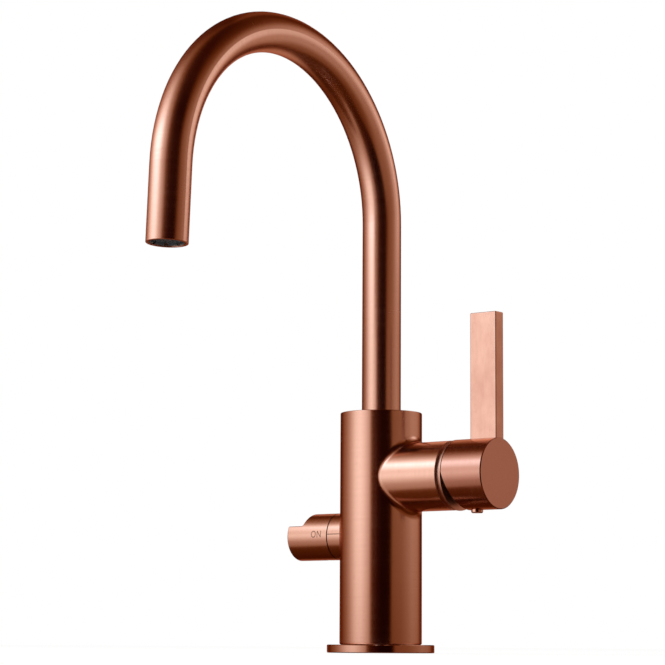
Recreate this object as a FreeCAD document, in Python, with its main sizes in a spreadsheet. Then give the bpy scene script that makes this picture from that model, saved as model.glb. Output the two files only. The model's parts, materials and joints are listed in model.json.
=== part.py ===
import FreeCAD, Part
import math
import os
import re

import Sketcher
from FreeCAD import Placement, Rotation, Vector

# Kitchen mixer tap with a swan-neck spout, a side lever and a dishwasher shut-off
#
# Millimetres. The origin is on the tap's upright axis, on the underside of the base flange.
# +Z is up, -Y is the front, where the spout reaches, +X is the lever's side.
# Upright pieces are turned about Z. Lever pieces are turned about X, at the lever's height.
# Shut-off pieces are drawn along their own X, which points along -X on the tap.

SIZES = {
    # fits
    "running_gap": 0.05,
    "fit_gap": 0.05,
    "play_gap": 0.3,
    "drill_over": 1.0,
    # spout
    "tube_dia": 22.0,
    "tube_wall": 1.5,
    "riser_top": 242.0,
    "bend_radius": 91.3,
    "bend_angle": 177.2,
    "outlet_length": 41.25,
    "outlet_edge": 0.3,
    "ferrule_dia": 28.0,
    "ferrule_length": 21.0,
    "ferrule_lip": 3.0,
    "ring_section": 1.8,
    "ring_groove_width": 2.2,
    "lower_ring_rise": 5.5,
    "upper_ring_rise": 10.0,
    "stop_rise": 15.5,
    "stop_tip_dia": 3.4,
    "stop_tip_length": 2.2,
    "stop_groove_depth": 1.6,
    "stop_play": 0.2,
    "stop_screw_dia": 6.0,
    "stop_screw_sink": 1.2,
    "swivel_angle": 60.0,
    "gland_dia": 32.0,
    "gland_thick": 5.0,
    "gland_sink": 0.3,
    "gland_key_dia": 2.4,
    "gland_key_depth": 2.0,
    "slide_thick": 2.0,
    "chamber_dia": 22.0,
    "chamber_depth": 8.0,
    # aerator
    "aerator_sink": 0.7,
    "aerator_length": 11.0,
    "aerator_wall": 1.1,
    "aerator_notch_width": 2.0,
    "aerator_notch_depth": 1.2,
    "grid_sink": 1.4,
    "grid_thick": 2.0,
    "grid_hole_dia": 1.5,
    "grid_pitch": 2.1,
    "aerator_seal_thick": 2.0,
    "aerator_seal_width": 2.6,
    # body and base
    "body_dia": 46.0,
    "body_height": 134.0,
    "body_edge": 0.5,
    "foot_edge": 1.0,
    "spigot_dia": 42.0,
    "spigot_clear": 0.6,
    "flange_dia": 60.0,
    "flange_thick": 4.5,
    "flange_edge": 0.4,
    "gasket_setback": 8.0,
    "gasket_width": 3.0,
    "gasket_thick": 1.5,
    "supply_dia": 7.0,
    "supply_across": 9.5,
    "supply_side": 6.5,
    "port_dia": 9.0,
    "port_depth": 12.0,
    "block_dia": 37.0,
    "block_depth": 22.0,
    "stud_dia": 6.8,
    "stud_depth": 16.0,
    "stud_across": -1.0,
    "stud_side": 13.0,
    # lever branch and cartridge
    "lever_drop": 37.0,
    "branch_dia": 38.4,
    "branch_root": 4.5,
    "cartridge_floor": 20.0,
    "cartridge_dia": 28.0,
    "housing_wall": 1.7,
    "seal_squeeze": 0.3,
    "seal_section": 1.8,
    "base_rim": 3.0,
    "base_spigot": 2.0,
    "way_dia": 4.6,
    "way_drop": 5.0,
    "mixed_rise": 5.0,
    "disc_thick": 3.5,
    "disc_film": 0.02,
    "disc_clear": 0.3,
    "moving_disc_dia": 18.0,
    "disc_notch_width": 5.6,
    "disc_notch_foot": 2.4,
    "holder_plate": 2.0,
    "holder_plate_dia": 15.0,
    "holder_boss_dia": 9.0,
    "holder_floor": 0.8,
    "holder_rise": 1.9,
    "ball_dia": 5.2,
    "ball_neck_dia": 3.8,
    "ball_arm": 8.0,
    "tilt_angle": 16.0,
    "pivot_depth": 1.3,
    "pivot_dia": 3.0,
    "lip_thick": 2.0,
    "nose_dia": 19.0,
    "nose_length": 2.0,
    "slot_half": 5.4,
    "stem_width": 7.0,
    "stem_back": 3.5,
    "stem_grip": 16.0,
    "nut_dia": 32.6,
    "nut_thick": 3.0,
    "nut_bore_over": 1.0,
    "nut_slot_width": 3.0,
    "nut_slot_depth": 1.2,
    "trim_spigot": 1.3,
    "groove_width": 3.1,
    "groove_dia": 34.8,
    "trim_thick": 0.8,
    "trim_bore": 25.0,
    # lever
    "hub_gap": 0.5,
    "hub_dia": 39.0,
    "hub_length": 25.8,
    "hub_edge": 0.5,
    "hub_wall": 3.0,
    "hub_face": 6.5,
    "hub_boss_dia": 16.0,
    "hub_boss_setback": 3.0,
    "bevel_rise": 0.8,
    "bevel_angle": 17.0,
    "blade_width": 17.0,
    "blade_thick": 7.5,
    "blade_reach": 88.6,
    "blade_edge": 0.5,
    "screw_setback": 10.8,
    "set_screw_dia": 5.0,
    "set_screw_length": 4.0,
    "plug_dia": 6.5,
    "plug_stand": 1.6,
    "plug_edge": 0.5,
    # dishwasher shut-off
    "valve_drop": 31.8,
    "boss_dia": 26.5,
    "boss_end": 28.0,
    "boss_root": 0.8,
    "valve_floor": 4.0,
    "valve_inlet_dia": 4.0,
    "valve_inlet_side": -3.5,
    "headwork_dia": 17.0,
    "headwork_wall": 1.5,
    "headwork_shank": 16.0,
    "headwork_flange_dia": 21.0,
    "headwork_flange": 3.0,
    "headwork_nose_dia": 14.0,
    "headwork_nose": 1.8,
    "headwork_ring_rise": 12.0,
    "seat_seal_thick": 2.0,
    "seat_seal_bore": 11.2,
    "valve_disc_thick": 2.5,
    "valve_hole_dia": 4.0,
    "valve_hole_side": 3.6,
    "window_width": 6.0,
    "spindle_dia": 8.0,
    "spindle_foot": 2.0,
    "spindle_key_width": 3.0,
    "spindle_key_depth": 1.2,
    "spindle_ring_rise": 4.5,
    "spindle_ring_section": 1.4,
    "spindle_grip": 14.0,
    "spindle_flat": 3.0,
    "clip_thick": 0.8,
    "clip_depth": 0.8,
    "clip_width": 2.0,
    "clip_gap": 4.0,
    "knob_gap": 0.7,
    "knob_length": 28.0,
    "knob_recess_dia": 18.0,
    "knob_recess": 2.2,
    "knob_flat_rise": 6.0,
    "knob_flat_length": 10.0,
    "knob_ramp_angle": 12.0,
    "knob_corner": 1.5,
    "knob_edge": 0.6,
    "knob_screw_dia": 4.0,
    "knob_screw_setback": 8.5,
    "knob_screw_length": 6.0,
}

# Counts of repeated features

GLAND_KEYS = 4
AERATOR_NOTCHES = 8
GRID_RINGS = 3
HOLES_PER_RING = 6
NUT_SLOTS = 4
VALVE_WAYS = 2

# Places worked out from the sizes

BODY_R = "body_dia / 2"
TUBE_R = "tube_dia / 2"
TUBE_BORE_R = "(tube_dia / 2 - tube_wall)"

# heights on the upright axis, from the body's top down
GLAND_FOOT = "(body_height - gland_thick)"
SLIDE_FOOT = f"({GLAND_FOOT} - slide_thick)"
FERRULE_TOP = f"({SLIDE_FOOT} - running_gap)"
FERRULE_FOOT = f"({FERRULE_TOP} - ferrule_length)"
LEDGE = f"({FERRULE_FOOT} - running_gap)"
CHAMBER_FLOOR = f"({LEDGE} - chamber_depth)"
TUBE_FOOT = f"({FERRULE_FOOT} + ferrule_lip)"
STOP_HEIGHT = f"({FERRULE_FOOT} + stop_rise)"
SOCKET_R = "(ferrule_dia / 2 + running_gap)"
LEVER_HEIGHT = "(body_height - lever_drop)"
VALVE_HEIGHT = f"({LEVER_HEIGHT} - valve_drop)"
BLOCK_TOP = "(spigot_clear + block_depth)"
GASKET_IN = "(flange_dia - gasket_setback - gasket_width) / 2"
GASKET_OUT = "(flange_dia - gasket_setback + gasket_width) / 2"

# stations along the lever's axis, from the pocket floor outwards
BASE_BACK = "(cartridge_floor + seal_squeeze)"
BASE_STEP = f"({BASE_BACK} + base_rim)"
BASE_FRONT = f"({BASE_STEP} + base_spigot)"
FIXED_FRONT = f"({BASE_FRONT} + disc_thick)"
MOVING_BACK = f"({FIXED_FRONT} + disc_film)"
MOVING_FRONT = f"({MOVING_BACK} + disc_thick)"
PLATE_FRONT = f"({MOVING_FRONT} + holder_plate)"
BALL = f"({MOVING_FRONT} + holder_floor + play_gap + ball_dia / 2)"
HOLDER_FRONT = f"({BALL} + holder_rise)"
PIVOT = f"({BALL} + ball_arm)"
HOUSING_FRONT = f"({PIVOT} + pivot_depth)"
LIP_BACK = f"({HOUSING_FRONT} - lip_thick)"
NOSE_FRONT = f"({HOUSING_FRONT} + nose_length)"
NUT_FRONT = f"({HOUSING_FRONT} + nut_thick)"
BRANCH_END = f"({NUT_FRONT} + trim_spigot)"
TRIM_STEP = f"({BRANCH_END} + groove_width)"
TRIM_FRONT = f"({TRIM_STEP} + trim_thick)"
HUB_BACK = f"({TRIM_FRONT} + hub_gap)"
HUB_END = f"({HUB_BACK} + hub_length)"
HUB_FLOOR = f"({HUB_END} - hub_face)"
HUB_BOSS_BACK = f"({HUB_BACK} + hub_boss_setback)"
STEM_END = f"({HUB_BOSS_BACK} + stem_grip)"
SCREW_STATION = f"({HUB_BACK} + screw_setback)"
HOUSING_BORE_R = "(cartridge_dia / 2 - housing_wall)"
BRANCH_R = "branch_dia / 2"
HUB_R = "hub_dia / 2"
HUB_RECESS_R = "(hub_dia / 2 - hub_wall)"

# stations along the shut-off's axis, from the tap's axis outwards
SKIRT_FOOT = "(valve_floor + seat_seal_thick)"
VALVE_FIXED_FRONT = f"({SKIRT_FOOT} + valve_disc_thick)"
VALVE_MOVING_BACK = f"({VALVE_FIXED_FRONT} + disc_film)"
VALVE_MOVING_FRONT = f"({VALVE_MOVING_BACK} + valve_disc_thick)"
FOOT_BACK = f"({VALVE_MOVING_FRONT} + running_gap)"
FOOT_FRONT = f"({FOOT_BACK} + spindle_foot)"
CHAMBER_END = f"({FOOT_FRONT} + running_gap)"
FLANGE_BACK = f"({SKIRT_FOOT} + headwork_shank)"
FLANGE_FRONT = f"({FLANGE_BACK} + headwork_flange)"
HEADWORK_END = f"({FLANGE_FRONT} + headwork_nose)"
CLIP_BACK = f"({HEADWORK_END} + running_gap)"
CLIP_FRONT = f"({CLIP_BACK} + clip_thick)"
KNOB_BACK = "(boss_end + knob_gap)"
KNOB_FLOOR = f"({KNOB_BACK} + knob_recess)"
KNOB_END = f"({KNOB_BACK} + knob_length)"
SPINDLE_END = f"({KNOB_FLOOR} + spindle_grip)"
KNOB_SCREW = f"({KNOB_BACK} + knob_screw_setback)"
SKIRT_R = "headwork_dia / 2"
SKIRT_BORE_R = "(headwork_dia / 2 - headwork_wall)"
SPINDLE_R = "spindle_dia / 2"
OUTLET_STATION = f"({VALVE_MOVING_BACK} + valve_disc_thick / 2)"

doc = FreeCAD.newDocument("kitchen_mixer_tap")
sheet = doc.addObject("Spreadsheet::Sheet", "sizes")
for row, (name, value) in enumerate(SIZES.items(), start=1):
    sheet.set(f"A{row}", name)
    sheet.set(f"B{row}", str(value))
    sheet.setAlias(f"B{row}", name)
doc.recompute()

nodes = []


def formula(text):
    """Turn each size's plain name in a formula into a reference to the sheet."""
    return re.sub(r"[a-z]\w*", lambda word: f"sizes.{word[0]}" if word[0] in SIZES else word[0], text)


def bind(item, prop, text):
    item.setExpression(prop, formula(text))


def new_body(label):
    """A piece made of features, listed for writing."""
    body = doc.addObject("PartDesign::Body", label)
    body.Label = label
    nodes.append(body)
    return body


def on_lever_axis(piece):
    bind(piece, ".Placement.Base.z", LEVER_HEIGHT)
    return piece


def on_valve_axis(piece):
    """Turn a piece to face -X, so that its own stations grow outwards from the tap."""
    piece.Placement = Placement(Vector(), Rotation(Vector(0, 0, 1), 180))
    bind(piece, ".Placement.Base.z", VALVE_HEIGHT)
    return piece


def at_outlet(piece):
    """Stand a piece on the spout's end, its own Z running up into the tube."""
    piece.Placement = Placement(Vector(), Rotation(Vector(1, 0, 0), 1))
    bind(piece, ".Placement.Rotation.Angle", "bend_angle - 180")
    bind(piece, ".Placement.Base.y", OUTLET_Y)
    bind(piece, ".Placement.Base.z", OUTLET_Z)
    return piece


def sketch_on(body, name, role, lift="0"):
    """A sketch on one of the body's own planes, moved along the plane's normal by lift."""
    sketch = body.newObject("Sketcher::SketchObject", name)
    plane = next(item for item in body.Origin.OriginFeatures if item.Role == role)
    sketch.AttachmentSupport = [(plane, "")]
    sketch.MapMode = "FlatFace"
    bind(sketch, ".AttachmentOffset.Base.z", lift)
    return sketch


def place_point(sketch, geometry, corner, across, up):
    """Hold a sketch point at two formulas; a zero puts it on the axis."""
    drawn = sketch.getPoint(geometry, corner)
    for kind, axis, text, now in (("DistanceX", -2, across, drawn.x), ("DistanceY", -1, up, drawn.y)):
        if text == "0":
            sketch.addConstraint(Sketcher.Constraint("PointOnObject", geometry, corner, axis))
            continue
        index = sketch.addConstraint(Sketcher.Constraint(kind, -1, 1, geometry, corner, now))
        title = f"point_{geometry}_{corner}_{kind}"
        sketch.renameConstraint(index, title)
        bind(sketch, f"Constraints.{title}", text)


def first_corner(index, count):
    """Where an outline's corner starts, on a small circle, before its formulas move it."""
    centre = Vector(10, 0, 0)
    arm = Vector(5, 0, 0)
    return centre + Rotation(Vector(0, 0, 1), 360 * index / count).multVec(arm)


def draw_outline(sketch, points):
    """A closed outline of straight lines through points given as formulas."""
    first = sketch.GeometryCount
    count = len(points)
    for index in range(count):
        start = first_corner(index, count)
        end = first_corner(index + 1, count)
        sketch.addGeometry(Part.LineSegment(start, end))
    for index in range(count):
        following = first + (index + 1) % count
        sketch.addConstraint(Sketcher.Constraint("Coincident", first + index, 2, following, 1))
    for index, (across, up) in enumerate(points):
        place_point(sketch, first + index, 1, across, up)


def draw_circle(sketch, across, up, radius):
    circle = sketch.addGeometry(Part.Circle(Vector(), Vector(0, 0, 1), 1.0))
    place_point(sketch, circle, 3, across, up)
    index = sketch.addConstraint(Sketcher.Constraint("Radius", circle, 1.0))
    sketch.renameConstraint(index, f"radius_{circle}")
    bind(sketch, f"Constraints.radius_{circle}", radius)


def add_turning(body, name, points, about="H_Axis"):
    """Add a lathe form: (station, radius) about H_Axis, (radius, height) about V_Axis."""
    sketch = sketch_on(body, f"{name}_profile", "XZ_Plane")
    draw_outline(sketch, points)
    turning = body.newObject("PartDesign::Revolution", f"{name}_turning")
    turning.Profile = sketch
    turning.ReferenceAxis = (sketch, [about])
    turning.Angle = 360
    body.Tip = turning


def turned(label, points, about="H_Axis"):
    """A piece turned on a lathe."""
    body = new_body(label)
    add_turning(body, label, points, about)
    return body


def extrude(body, kind, name, sketch, length, reversed_way=False, both_ways=False):
    """Pad or pocket a sketch. A pocket goes against the plane's normal unless reversed."""
    feature = body.newObject(f"PartDesign::{kind}", name)
    feature.Profile = sketch
    bind(feature, "Length", length)
    feature.Reversed = reversed_way
    if both_ways:
        feature.SideType = "Symmetric"
    body.Tip = feature
    return feature


def pad_outline(body, name, role, points, length, lift="0", **ways):
    sketch = sketch_on(body, f"{name}_outline", role, lift)
    draw_outline(sketch, points)
    return extrude(body, "Pad", name, sketch, length, **ways)


def cut_outline(body, name, role, points, length, lift="0", **ways):
    sketch = sketch_on(body, f"{name}_outline", role, lift)
    draw_outline(sketch, points)
    return extrude(body, "Pocket", name, sketch, length, **ways)


def drill(body, name, role, centre, radius, length, lift="0", **ways):
    sketch = sketch_on(body, f"{name}_circle", role, lift)
    draw_circle(sketch, centre[0], centre[1], radius)
    return extrude(body, "Pocket", name, sketch, length, **ways)


def polar(body, name, feature, axis_role, count):
    """Repeat a feature evenly round one of the body's own axes."""
    pattern = body.newObject("PartDesign::PolarPattern", name)
    pattern.Originals = [feature]
    axis = next(item for item in body.Origin.OriginFeatures if item.Role == axis_role)
    pattern.Axis = (axis, [""])
    pattern.Angle = 360
    pattern.Occurrences = count
    body.Tip = pattern
    return pattern


def soften(body, name, radius, wanted):
    """Round the edges that a test picks out of the body's shape so far."""
    doc.recompute()
    base = body.Tip
    picked = [f"Edge{number}" for number, edge in enumerate(base.Shape.Edges, start=1) if wanted(edge)]
    rounding = body.newObject("PartDesign::Fillet", name)
    rounding.Base = (base, picked)
    bind(rounding, "Radius", radius)
    body.Tip = rounding
    return rounding


def rectangle(left, right, low, high):
    return [(left, low), (right, low), (right, high), (left, high)]


def hexagon(across_flats):
    """A socket for a hexagon key, as six corners about the sketch's origin."""
    corner = f"({across_flats} / 2 / cos(30 deg))"
    turns = [30 + 60 * side for side in range(6)]
    return [(f"{corner} * cos({turn} deg)", f"{corner} * sin({turn} deg)") for turn in turns]


def round_ring(label, radius, section, height, axis=Vector(0, 0, 1)):
    """A rubber ring of round section."""
    ring = doc.addObject("Part::Torus", label)
    ring.Placement = Placement(Vector(), Rotation(Vector(0, 0, 1), axis))
    bind(ring, "Radius1", radius)
    bind(ring, "Radius2", f"{section} / 2")
    if axis.z:
        bind(ring, ".Placement.Base.z", height)
    else:
        bind(ring, ".Placement.Base.x", height)
    return ring


# Base flange and its gasket

FLANGE_BORE_R = "(spigot_dia / 2 + fit_gap)"
turned("base_flange", [
    (FLANGE_BORE_R, "0"),
    (GASKET_IN, "0"),
    (GASKET_IN, "gasket_thick"),
    (GASKET_OUT, "gasket_thick"),
    (GASKET_OUT, "0"),
    ("flange_dia / 2 - flange_edge", "0"),
    ("flange_dia / 2", "flange_edge"),
    ("flange_dia / 2", "flange_thick - flange_edge"),
    ("flange_dia / 2 - flange_edge", "flange_thick"),
    (FLANGE_BORE_R, "flange_thick"),
], "V_Axis")

turned("base_gasket", [
    (f"{GASKET_IN} + fit_gap", "0"),
    (f"{GASKET_OUT} - fit_gap", "0"),
    (f"{GASKET_OUT} - fit_gap", "gasket_thick"),
    (f"{GASKET_IN} + fit_gap", "gasket_thick"),
], "V_Axis")

# Body: upright barrel, lever branch, shut-off boss, pockets and waterways

body = turned("body", [
    ("0", "spigot_clear"),
    ("spigot_dia / 2", "spigot_clear"),
    ("spigot_dia / 2", "flange_thick"),
    (BODY_R, "flange_thick"),
    (BODY_R, "body_height"),
    ("0", "body_height"),
], "V_Axis")

branch_circle = sketch_on(body, "branch_circle", "YZ_Plane")
draw_circle(branch_circle, "0", LEVER_HEIGHT, BRANCH_R)
extrude(body, "Pad", "branch", branch_circle, BRANCH_END)
boss_circle = sketch_on(body, "boss_circle", "YZ_Plane")
draw_circle(boss_circle, "0", VALVE_HEIGHT, "boss_dia / 2")
extrude(body, "Pad", "boss", boss_circle, "boss_end", reversed_way=True)


def meets_barrel(edge, side):
    """True for the curve where a side tube leaves the barrel, which no plane holds."""
    box = edge.BoundBox
    bent = min(box.XLength, box.YLength, box.ZLength) > SIZES["body_edge"]
    return bent and side * box.Center.x > 0


soften(body, "branch_root_round", "branch_root", lambda edge: meets_barrel(edge, 1))
soften(body, "boss_root_round", "boss_root", lambda edge: meets_barrel(edge, -1))


def rings_barrel(edge, height):
    """True for the barrel's own rim at a height."""
    box = edge.BoundBox
    level = max(abs(box.ZMin - height), abs(box.ZMax - height)) < SIZES["fit_gap"]
    return level and box.XLength > SIZES["spigot_dia"] + SIZES["fit_gap"]


soften(body, "top_round", "body_edge", lambda edge: rings_barrel(edge, SIZES["body_height"]))
soften(body, "foot_round", "foot_edge", lambda edge: rings_barrel(edge, SIZES["flange_thick"]))

# spout socket, its ledge and the mixing chamber under it
on_axis = ("0", "0")
drill(body, "gland_seat", "XY_Plane", on_axis, "gland_dia / 2 + fit_gap", "gland_thick", "body_height")
drill(body, "spout_socket", "XY_Plane", on_axis, SOCKET_R, f"body_height - {LEDGE}", "body_height")
drill(body, "mixing_chamber", "XY_Plane", on_axis, "chamber_dia / 2",
      f"body_height - {CHAMBER_FLOOR}", "body_height")
drill(body, "stop_hole", "XZ_Plane", ("0", STOP_HEIGHT), "stop_screw_dia / 2 + fit_gap",
      f"{BODY_R} + drill_over")

# cartridge pocket with the nut's wider bore
axis_point = ("0", LEVER_HEIGHT)
drill(body, "cartridge_pocket", "YZ_Plane", axis_point, "cartridge_dia / 2 + fit_gap",
      f"{BRANCH_END} - cartridge_floor", "cartridge_floor", reversed_way=True)
drill(body, "nut_bore", "YZ_Plane", axis_point, "nut_dia / 2 + fit_gap",
      f"{BRANCH_END} - {HOUSING_FRONT}", HOUSING_FRONT, reversed_way=True)

# seat for the port block, open at the foot
drill(body, "block_seat", "XY_Plane", on_axis, "block_dia / 2 + fit_gap", "block_depth", "spigot_clear",
      reversed_way=True)

# supplies up from the port block, across to the cartridge, and mixed water to the spout
WAY_HEIGHT = f"({LEVER_HEIGHT} - way_drop)"
MIXED_HEIGHT = f"({LEVER_HEIGHT} + mixed_rise)"
supplies = (
    ("cold", ("supply_across", "-supply_side")),
    ("hot", ("supply_across", "supply_side")),
)
for title, place in supplies:
    drill(body, f"{title}_supply", "XY_Plane", place, "supply_dia / 2",
          f"{WAY_HEIGHT} + way_dia / 2 + drill_over - {BLOCK_TOP}", BLOCK_TOP, reversed_way=True)
    drill(body, f"{title}_way", "YZ_Plane", (place[1], WAY_HEIGHT), "way_dia / 2",
          "cartridge_floor - supply_across", "cartridge_floor")
drill(body, "mixed_way", "YZ_Plane", ("0", MIXED_HEIGHT), "way_dia / 2",
      "cartridge_floor", "cartridge_floor")

# shut-off pocket, fed from the cold supply and emptied through the port block
valve_point = ("0", VALVE_HEIGHT)
drill(body, "valve_pocket", "YZ_Plane", valve_point, f"{SKIRT_R} + fit_gap",
      "boss_end - valve_floor", "-valve_floor")
drill(body, "valve_flange_seat", "YZ_Plane", valve_point, "headwork_flange_dia / 2 + fit_gap",
      f"boss_end - {FLANGE_BACK}", f"-{FLANGE_BACK}")
drill(body, "valve_inlet", "YZ_Plane", ("valve_inlet_side", VALVE_HEIGHT), "valve_inlet_dia / 2",
      "valve_floor + supply_across", "-valve_floor", reversed_way=True)
outlet_place = (f"-{OUTLET_STATION}", "0")
drill(body, "outlet_bore", "XY_Plane", outlet_place, "supply_dia / 2",
      f"{VALVE_HEIGHT} - {BLOCK_TOP}", BLOCK_TOP, reversed_way=True)

# Port block brazed into the body's foot, with the hose ports and the stud holes

block = turned("port_block", rectangle("0", "block_dia / 2", "spigot_clear", BLOCK_TOP), "V_Axis")
for title, place in (*supplies, ("outlet", outlet_place)):
    drill(block, f"{title}_passage", "XY_Plane", place, "supply_dia / 2",
          "block_depth", "spigot_clear", reversed_way=True)
    drill(block, f"{title}_port", "XY_Plane", place, "port_dia / 2",
          "port_depth", "spigot_clear", reversed_way=True)
for title, side in (("front", "-stud_side"), ("rear", "stud_side")):
    drill(block, f"{title}_stud_hole", "XY_Plane", ("stud_across", side), "stud_dia / 2",
          "stud_depth", "spigot_clear", reversed_way=True)

# Spout: bent tube, brazed ferrule, rings

OUTLET_Y = ("-bend_radius * (1 - cos(bend_angle * 1 deg))"
            " - outlet_length * sin(bend_angle * 1 deg)")
OUTLET_Z = ("riser_top + bend_radius * sin(bend_angle * 1 deg)"
            " + outlet_length * cos(bend_angle * 1 deg)")

tube = new_body("spout_tube")
path = sketch_on(tube, "spout_path", "YZ_Plane")
turn = math.radians(SIZES["bend_angle"])
radius = SIZES["bend_radius"]
foot_guess = Vector(0, SIZES["body_height"] / 2, 0)
bend_start = Vector(0, SIZES["riser_top"], 0)
bend_centre = bend_start - Vector(radius, 0, 0)
bend_end = bend_centre + Vector(radius * math.cos(turn), radius * math.sin(turn), 0)
tip_guess = bend_end + Vector(-math.sin(turn), math.cos(turn), 0) * SIZES["outlet_length"]
riser = path.addGeometry(Part.LineSegment(foot_guess, bend_start))
bend = path.addGeometry(Part.ArcOfCircle(Part.Circle(bend_centre, Vector(0, 0, 1), radius), 0, turn))
drop = path.addGeometry(Part.LineSegment(bend_end, tip_guess))
path.addConstraint(Sketcher.Constraint("Coincident", riser, 2, bend, 1))
path.addConstraint(Sketcher.Constraint("Coincident", bend, 2, drop, 1))
place_point(path, riser, 1, "0", TUBE_FOOT)
place_point(path, riser, 2, "0", "riser_top")
place_point(path, bend, 3, "-bend_radius", "riser_top")
place_point(path, drop, 2, OUTLET_Y, OUTLET_Z)
bend_end_rise = path.addConstraint(Sketcher.Constraint("DistanceY", -1, 1, bend, 2, bend_end.y))
path.renameConstraint(bend_end_rise, "bend_end_rise")
bind(path, "Constraints.bend_end_rise", "riser_top + bend_radius * sin(bend_angle * 1 deg)")
section = sketch_on(tube, "tube_section", "XY_Plane", TUBE_FOOT)
draw_circle(section, "0", "0", TUBE_R)
draw_circle(section, "0", "0", TUBE_BORE_R)
sweep = tube.newObject("PartDesign::AdditivePipe", "spout_sweep")
sweep.Profile = section
sweep.Spine = (path, [""])
tube.Tip = sweep
soften(tube, "outlet_round", "outlet_edge", lambda edge: (
    edge.BoundBox.Center.y < -SIZES["bend_radius"]
    and edge.BoundBox.ZMax < SIZES["riser_top"]
    and edge.BoundBox.ZLength < SIZES["tube_dia"] / 2))


def ring_groove(rise):
    """Four profile corners of a groove for a rubber ring, down the ferrule's outside."""
    middle = f"{FERRULE_FOOT} + {rise}"
    deep = "ferrule_dia / 2 - ring_section"
    return [
        ("ferrule_dia / 2", f"{middle} - ring_groove_width / 2"),
        (deep, f"{middle} - ring_groove_width / 2"),
        (deep, f"{middle} + ring_groove_width / 2"),
        ("ferrule_dia / 2", f"{middle} + ring_groove_width / 2"),
    ]


ferrule = turned("spout_ferrule", [
    (TUBE_BORE_R, FERRULE_FOOT),
    ("ferrule_dia / 2", FERRULE_FOOT),
    *ring_groove("lower_ring_rise"),
    *ring_groove("upper_ring_rise"),
    ("ferrule_dia / 2", FERRULE_TOP),
    (f"{TUBE_R} + fit_gap", FERRULE_TOP),
    (f"{TUBE_R} + fit_gap", TUBE_FOOT),
    (TUBE_BORE_R, TUBE_FOOT),
], "V_Axis")
stop_profile = sketch_on(ferrule, "stop_groove_profile", "YZ_Plane")
draw_outline(stop_profile, rectangle(
    "ferrule_dia / 2 - stop_groove_depth",
    "ferrule_dia / 2 + drill_over",
    f"{STOP_HEIGHT} - stop_tip_dia / 2 - stop_play",
    f"{STOP_HEIGHT} + stop_tip_dia / 2 + stop_play"))
stop_groove = ferrule.newObject("PartDesign::Groove", "stop_groove")
stop_groove.Profile = stop_profile
stop_groove.ReferenceAxis = (stop_profile, ["V_Axis"])
stop_groove.Midplane = True
STOP_HALF_ANGLE = "asin((stop_tip_dia / 2 + stop_play) / (ferrule_dia / 2 - stop_groove_depth))"
bind(stop_groove, "Angle", f"2 * swivel_angle * 1 deg + 2 * {STOP_HALF_ANGLE}")
ferrule.Tip = stop_groove

RING_R = "ferrule_dia / 2 - ring_section / 2"
spout_rings = doc.addObject("Part::Compound", "spout_o_rings")
spout_rings.Links = [
    round_ring(f"{title}_spout_ring", RING_R, "ring_section", f"{FERRULE_FOOT} + {title}_ring_rise")
    for title in ("lower", "upper")
]
nodes.append(spout_rings)

turned("spout_slide_ring", rectangle(
    f"{TUBE_R} + running_gap", f"{SOCKET_R} - fit_gap", SLIDE_FOOT, GLAND_FOOT), "V_Axis")

gland = turned("spout_gland", rectangle(
    f"{TUBE_R} + running_gap", "gland_dia / 2", GLAND_FOOT, "body_height - gland_sink"), "V_Axis")
key_hole = drill(gland, "gland_key_hole", "XY_Plane", ("(gland_dia + tube_dia) / 4", "0"),
                 "gland_key_dia / 2", "gland_key_depth", "body_height - gland_sink")
polar(gland, "gland_key_holes", key_hole, "Z_Axis", GLAND_KEYS)

STOP_END = f"({BODY_R} - stop_screw_sink)"
STOP_TIP = "(ferrule_dia / 2 - stop_groove_depth + stop_play)"
STOP_SHOULDER = f"({STOP_TIP} + stop_tip_length)"
stop_screw = turned("spout_stop_screw", [
    (STOP_TIP, "0"),
    (STOP_TIP, "stop_tip_dia / 2"),
    (STOP_SHOULDER, "stop_tip_dia / 2"),
    (STOP_SHOULDER, "stop_screw_dia / 2"),
    (STOP_END, "stop_screw_dia / 2"),
    (STOP_END, "0"),
])
cut_outline(stop_screw, "stop_key_socket", "YZ_Plane", hexagon("stop_screw_dia / 2"),
            "stop_screw_dia / 2", STOP_END)
stop_screw.Placement = Placement(Vector(), Rotation(Vector(0, 0, 1), 90))
bind(stop_screw, ".Placement.Base.z", STOP_HEIGHT)

# Aerator in the spout's end

AERATOR_R = f"({TUBE_BORE_R} - fit_gap)"
AERATOR_BORE_R = f"({AERATOR_R} - aerator_wall)"
AERATOR_TOP = "(aerator_sink + aerator_length)"
aerator = at_outlet(turned("aerator_housing", rectangle(
    AERATOR_BORE_R, AERATOR_R, "aerator_sink", AERATOR_TOP), "V_Axis"))
notch = cut_outline(aerator, "key_notch", "XY_Plane", rectangle(
    f"{AERATOR_BORE_R} - drill_over", f"{AERATOR_R} + drill_over",
    "-aerator_notch_width / 2", "aerator_notch_width / 2"),
    "aerator_notch_depth", "aerator_sink", reversed_way=True)
polar(aerator, "key_notches", notch, "Z_Axis", AERATOR_NOTCHES)

GRID_FOOT = "(aerator_sink + grid_sink)"
grid = at_outlet(turned("aerator_grid", [
    ("0", GRID_FOOT),
    (f"{AERATOR_BORE_R} - fit_gap", GRID_FOOT),
    (f"{AERATOR_BORE_R} - fit_gap", f"{GRID_FOOT} + grid_thick"),
    ("0", f"{GRID_FOOT} + grid_thick"),
], "V_Axis"))
drill(grid, "grid_middle_hole", "XY_Plane", ("0", "0"), "grid_hole_dia / 2", "grid_thick",
      GRID_FOOT, reversed_way=True)
for ring_number in range(1, GRID_RINGS + 1):
    grid_hole = drill(grid, f"grid_hole_{ring_number}", "XY_Plane", (f"{ring_number} * grid_pitch", "0"),
                      "grid_hole_dia / 2", "grid_thick", GRID_FOOT, reversed_way=True)
    polar(grid, f"grid_ring_{ring_number}", grid_hole, "Z_Axis", HOLES_PER_RING * ring_number)

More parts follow.
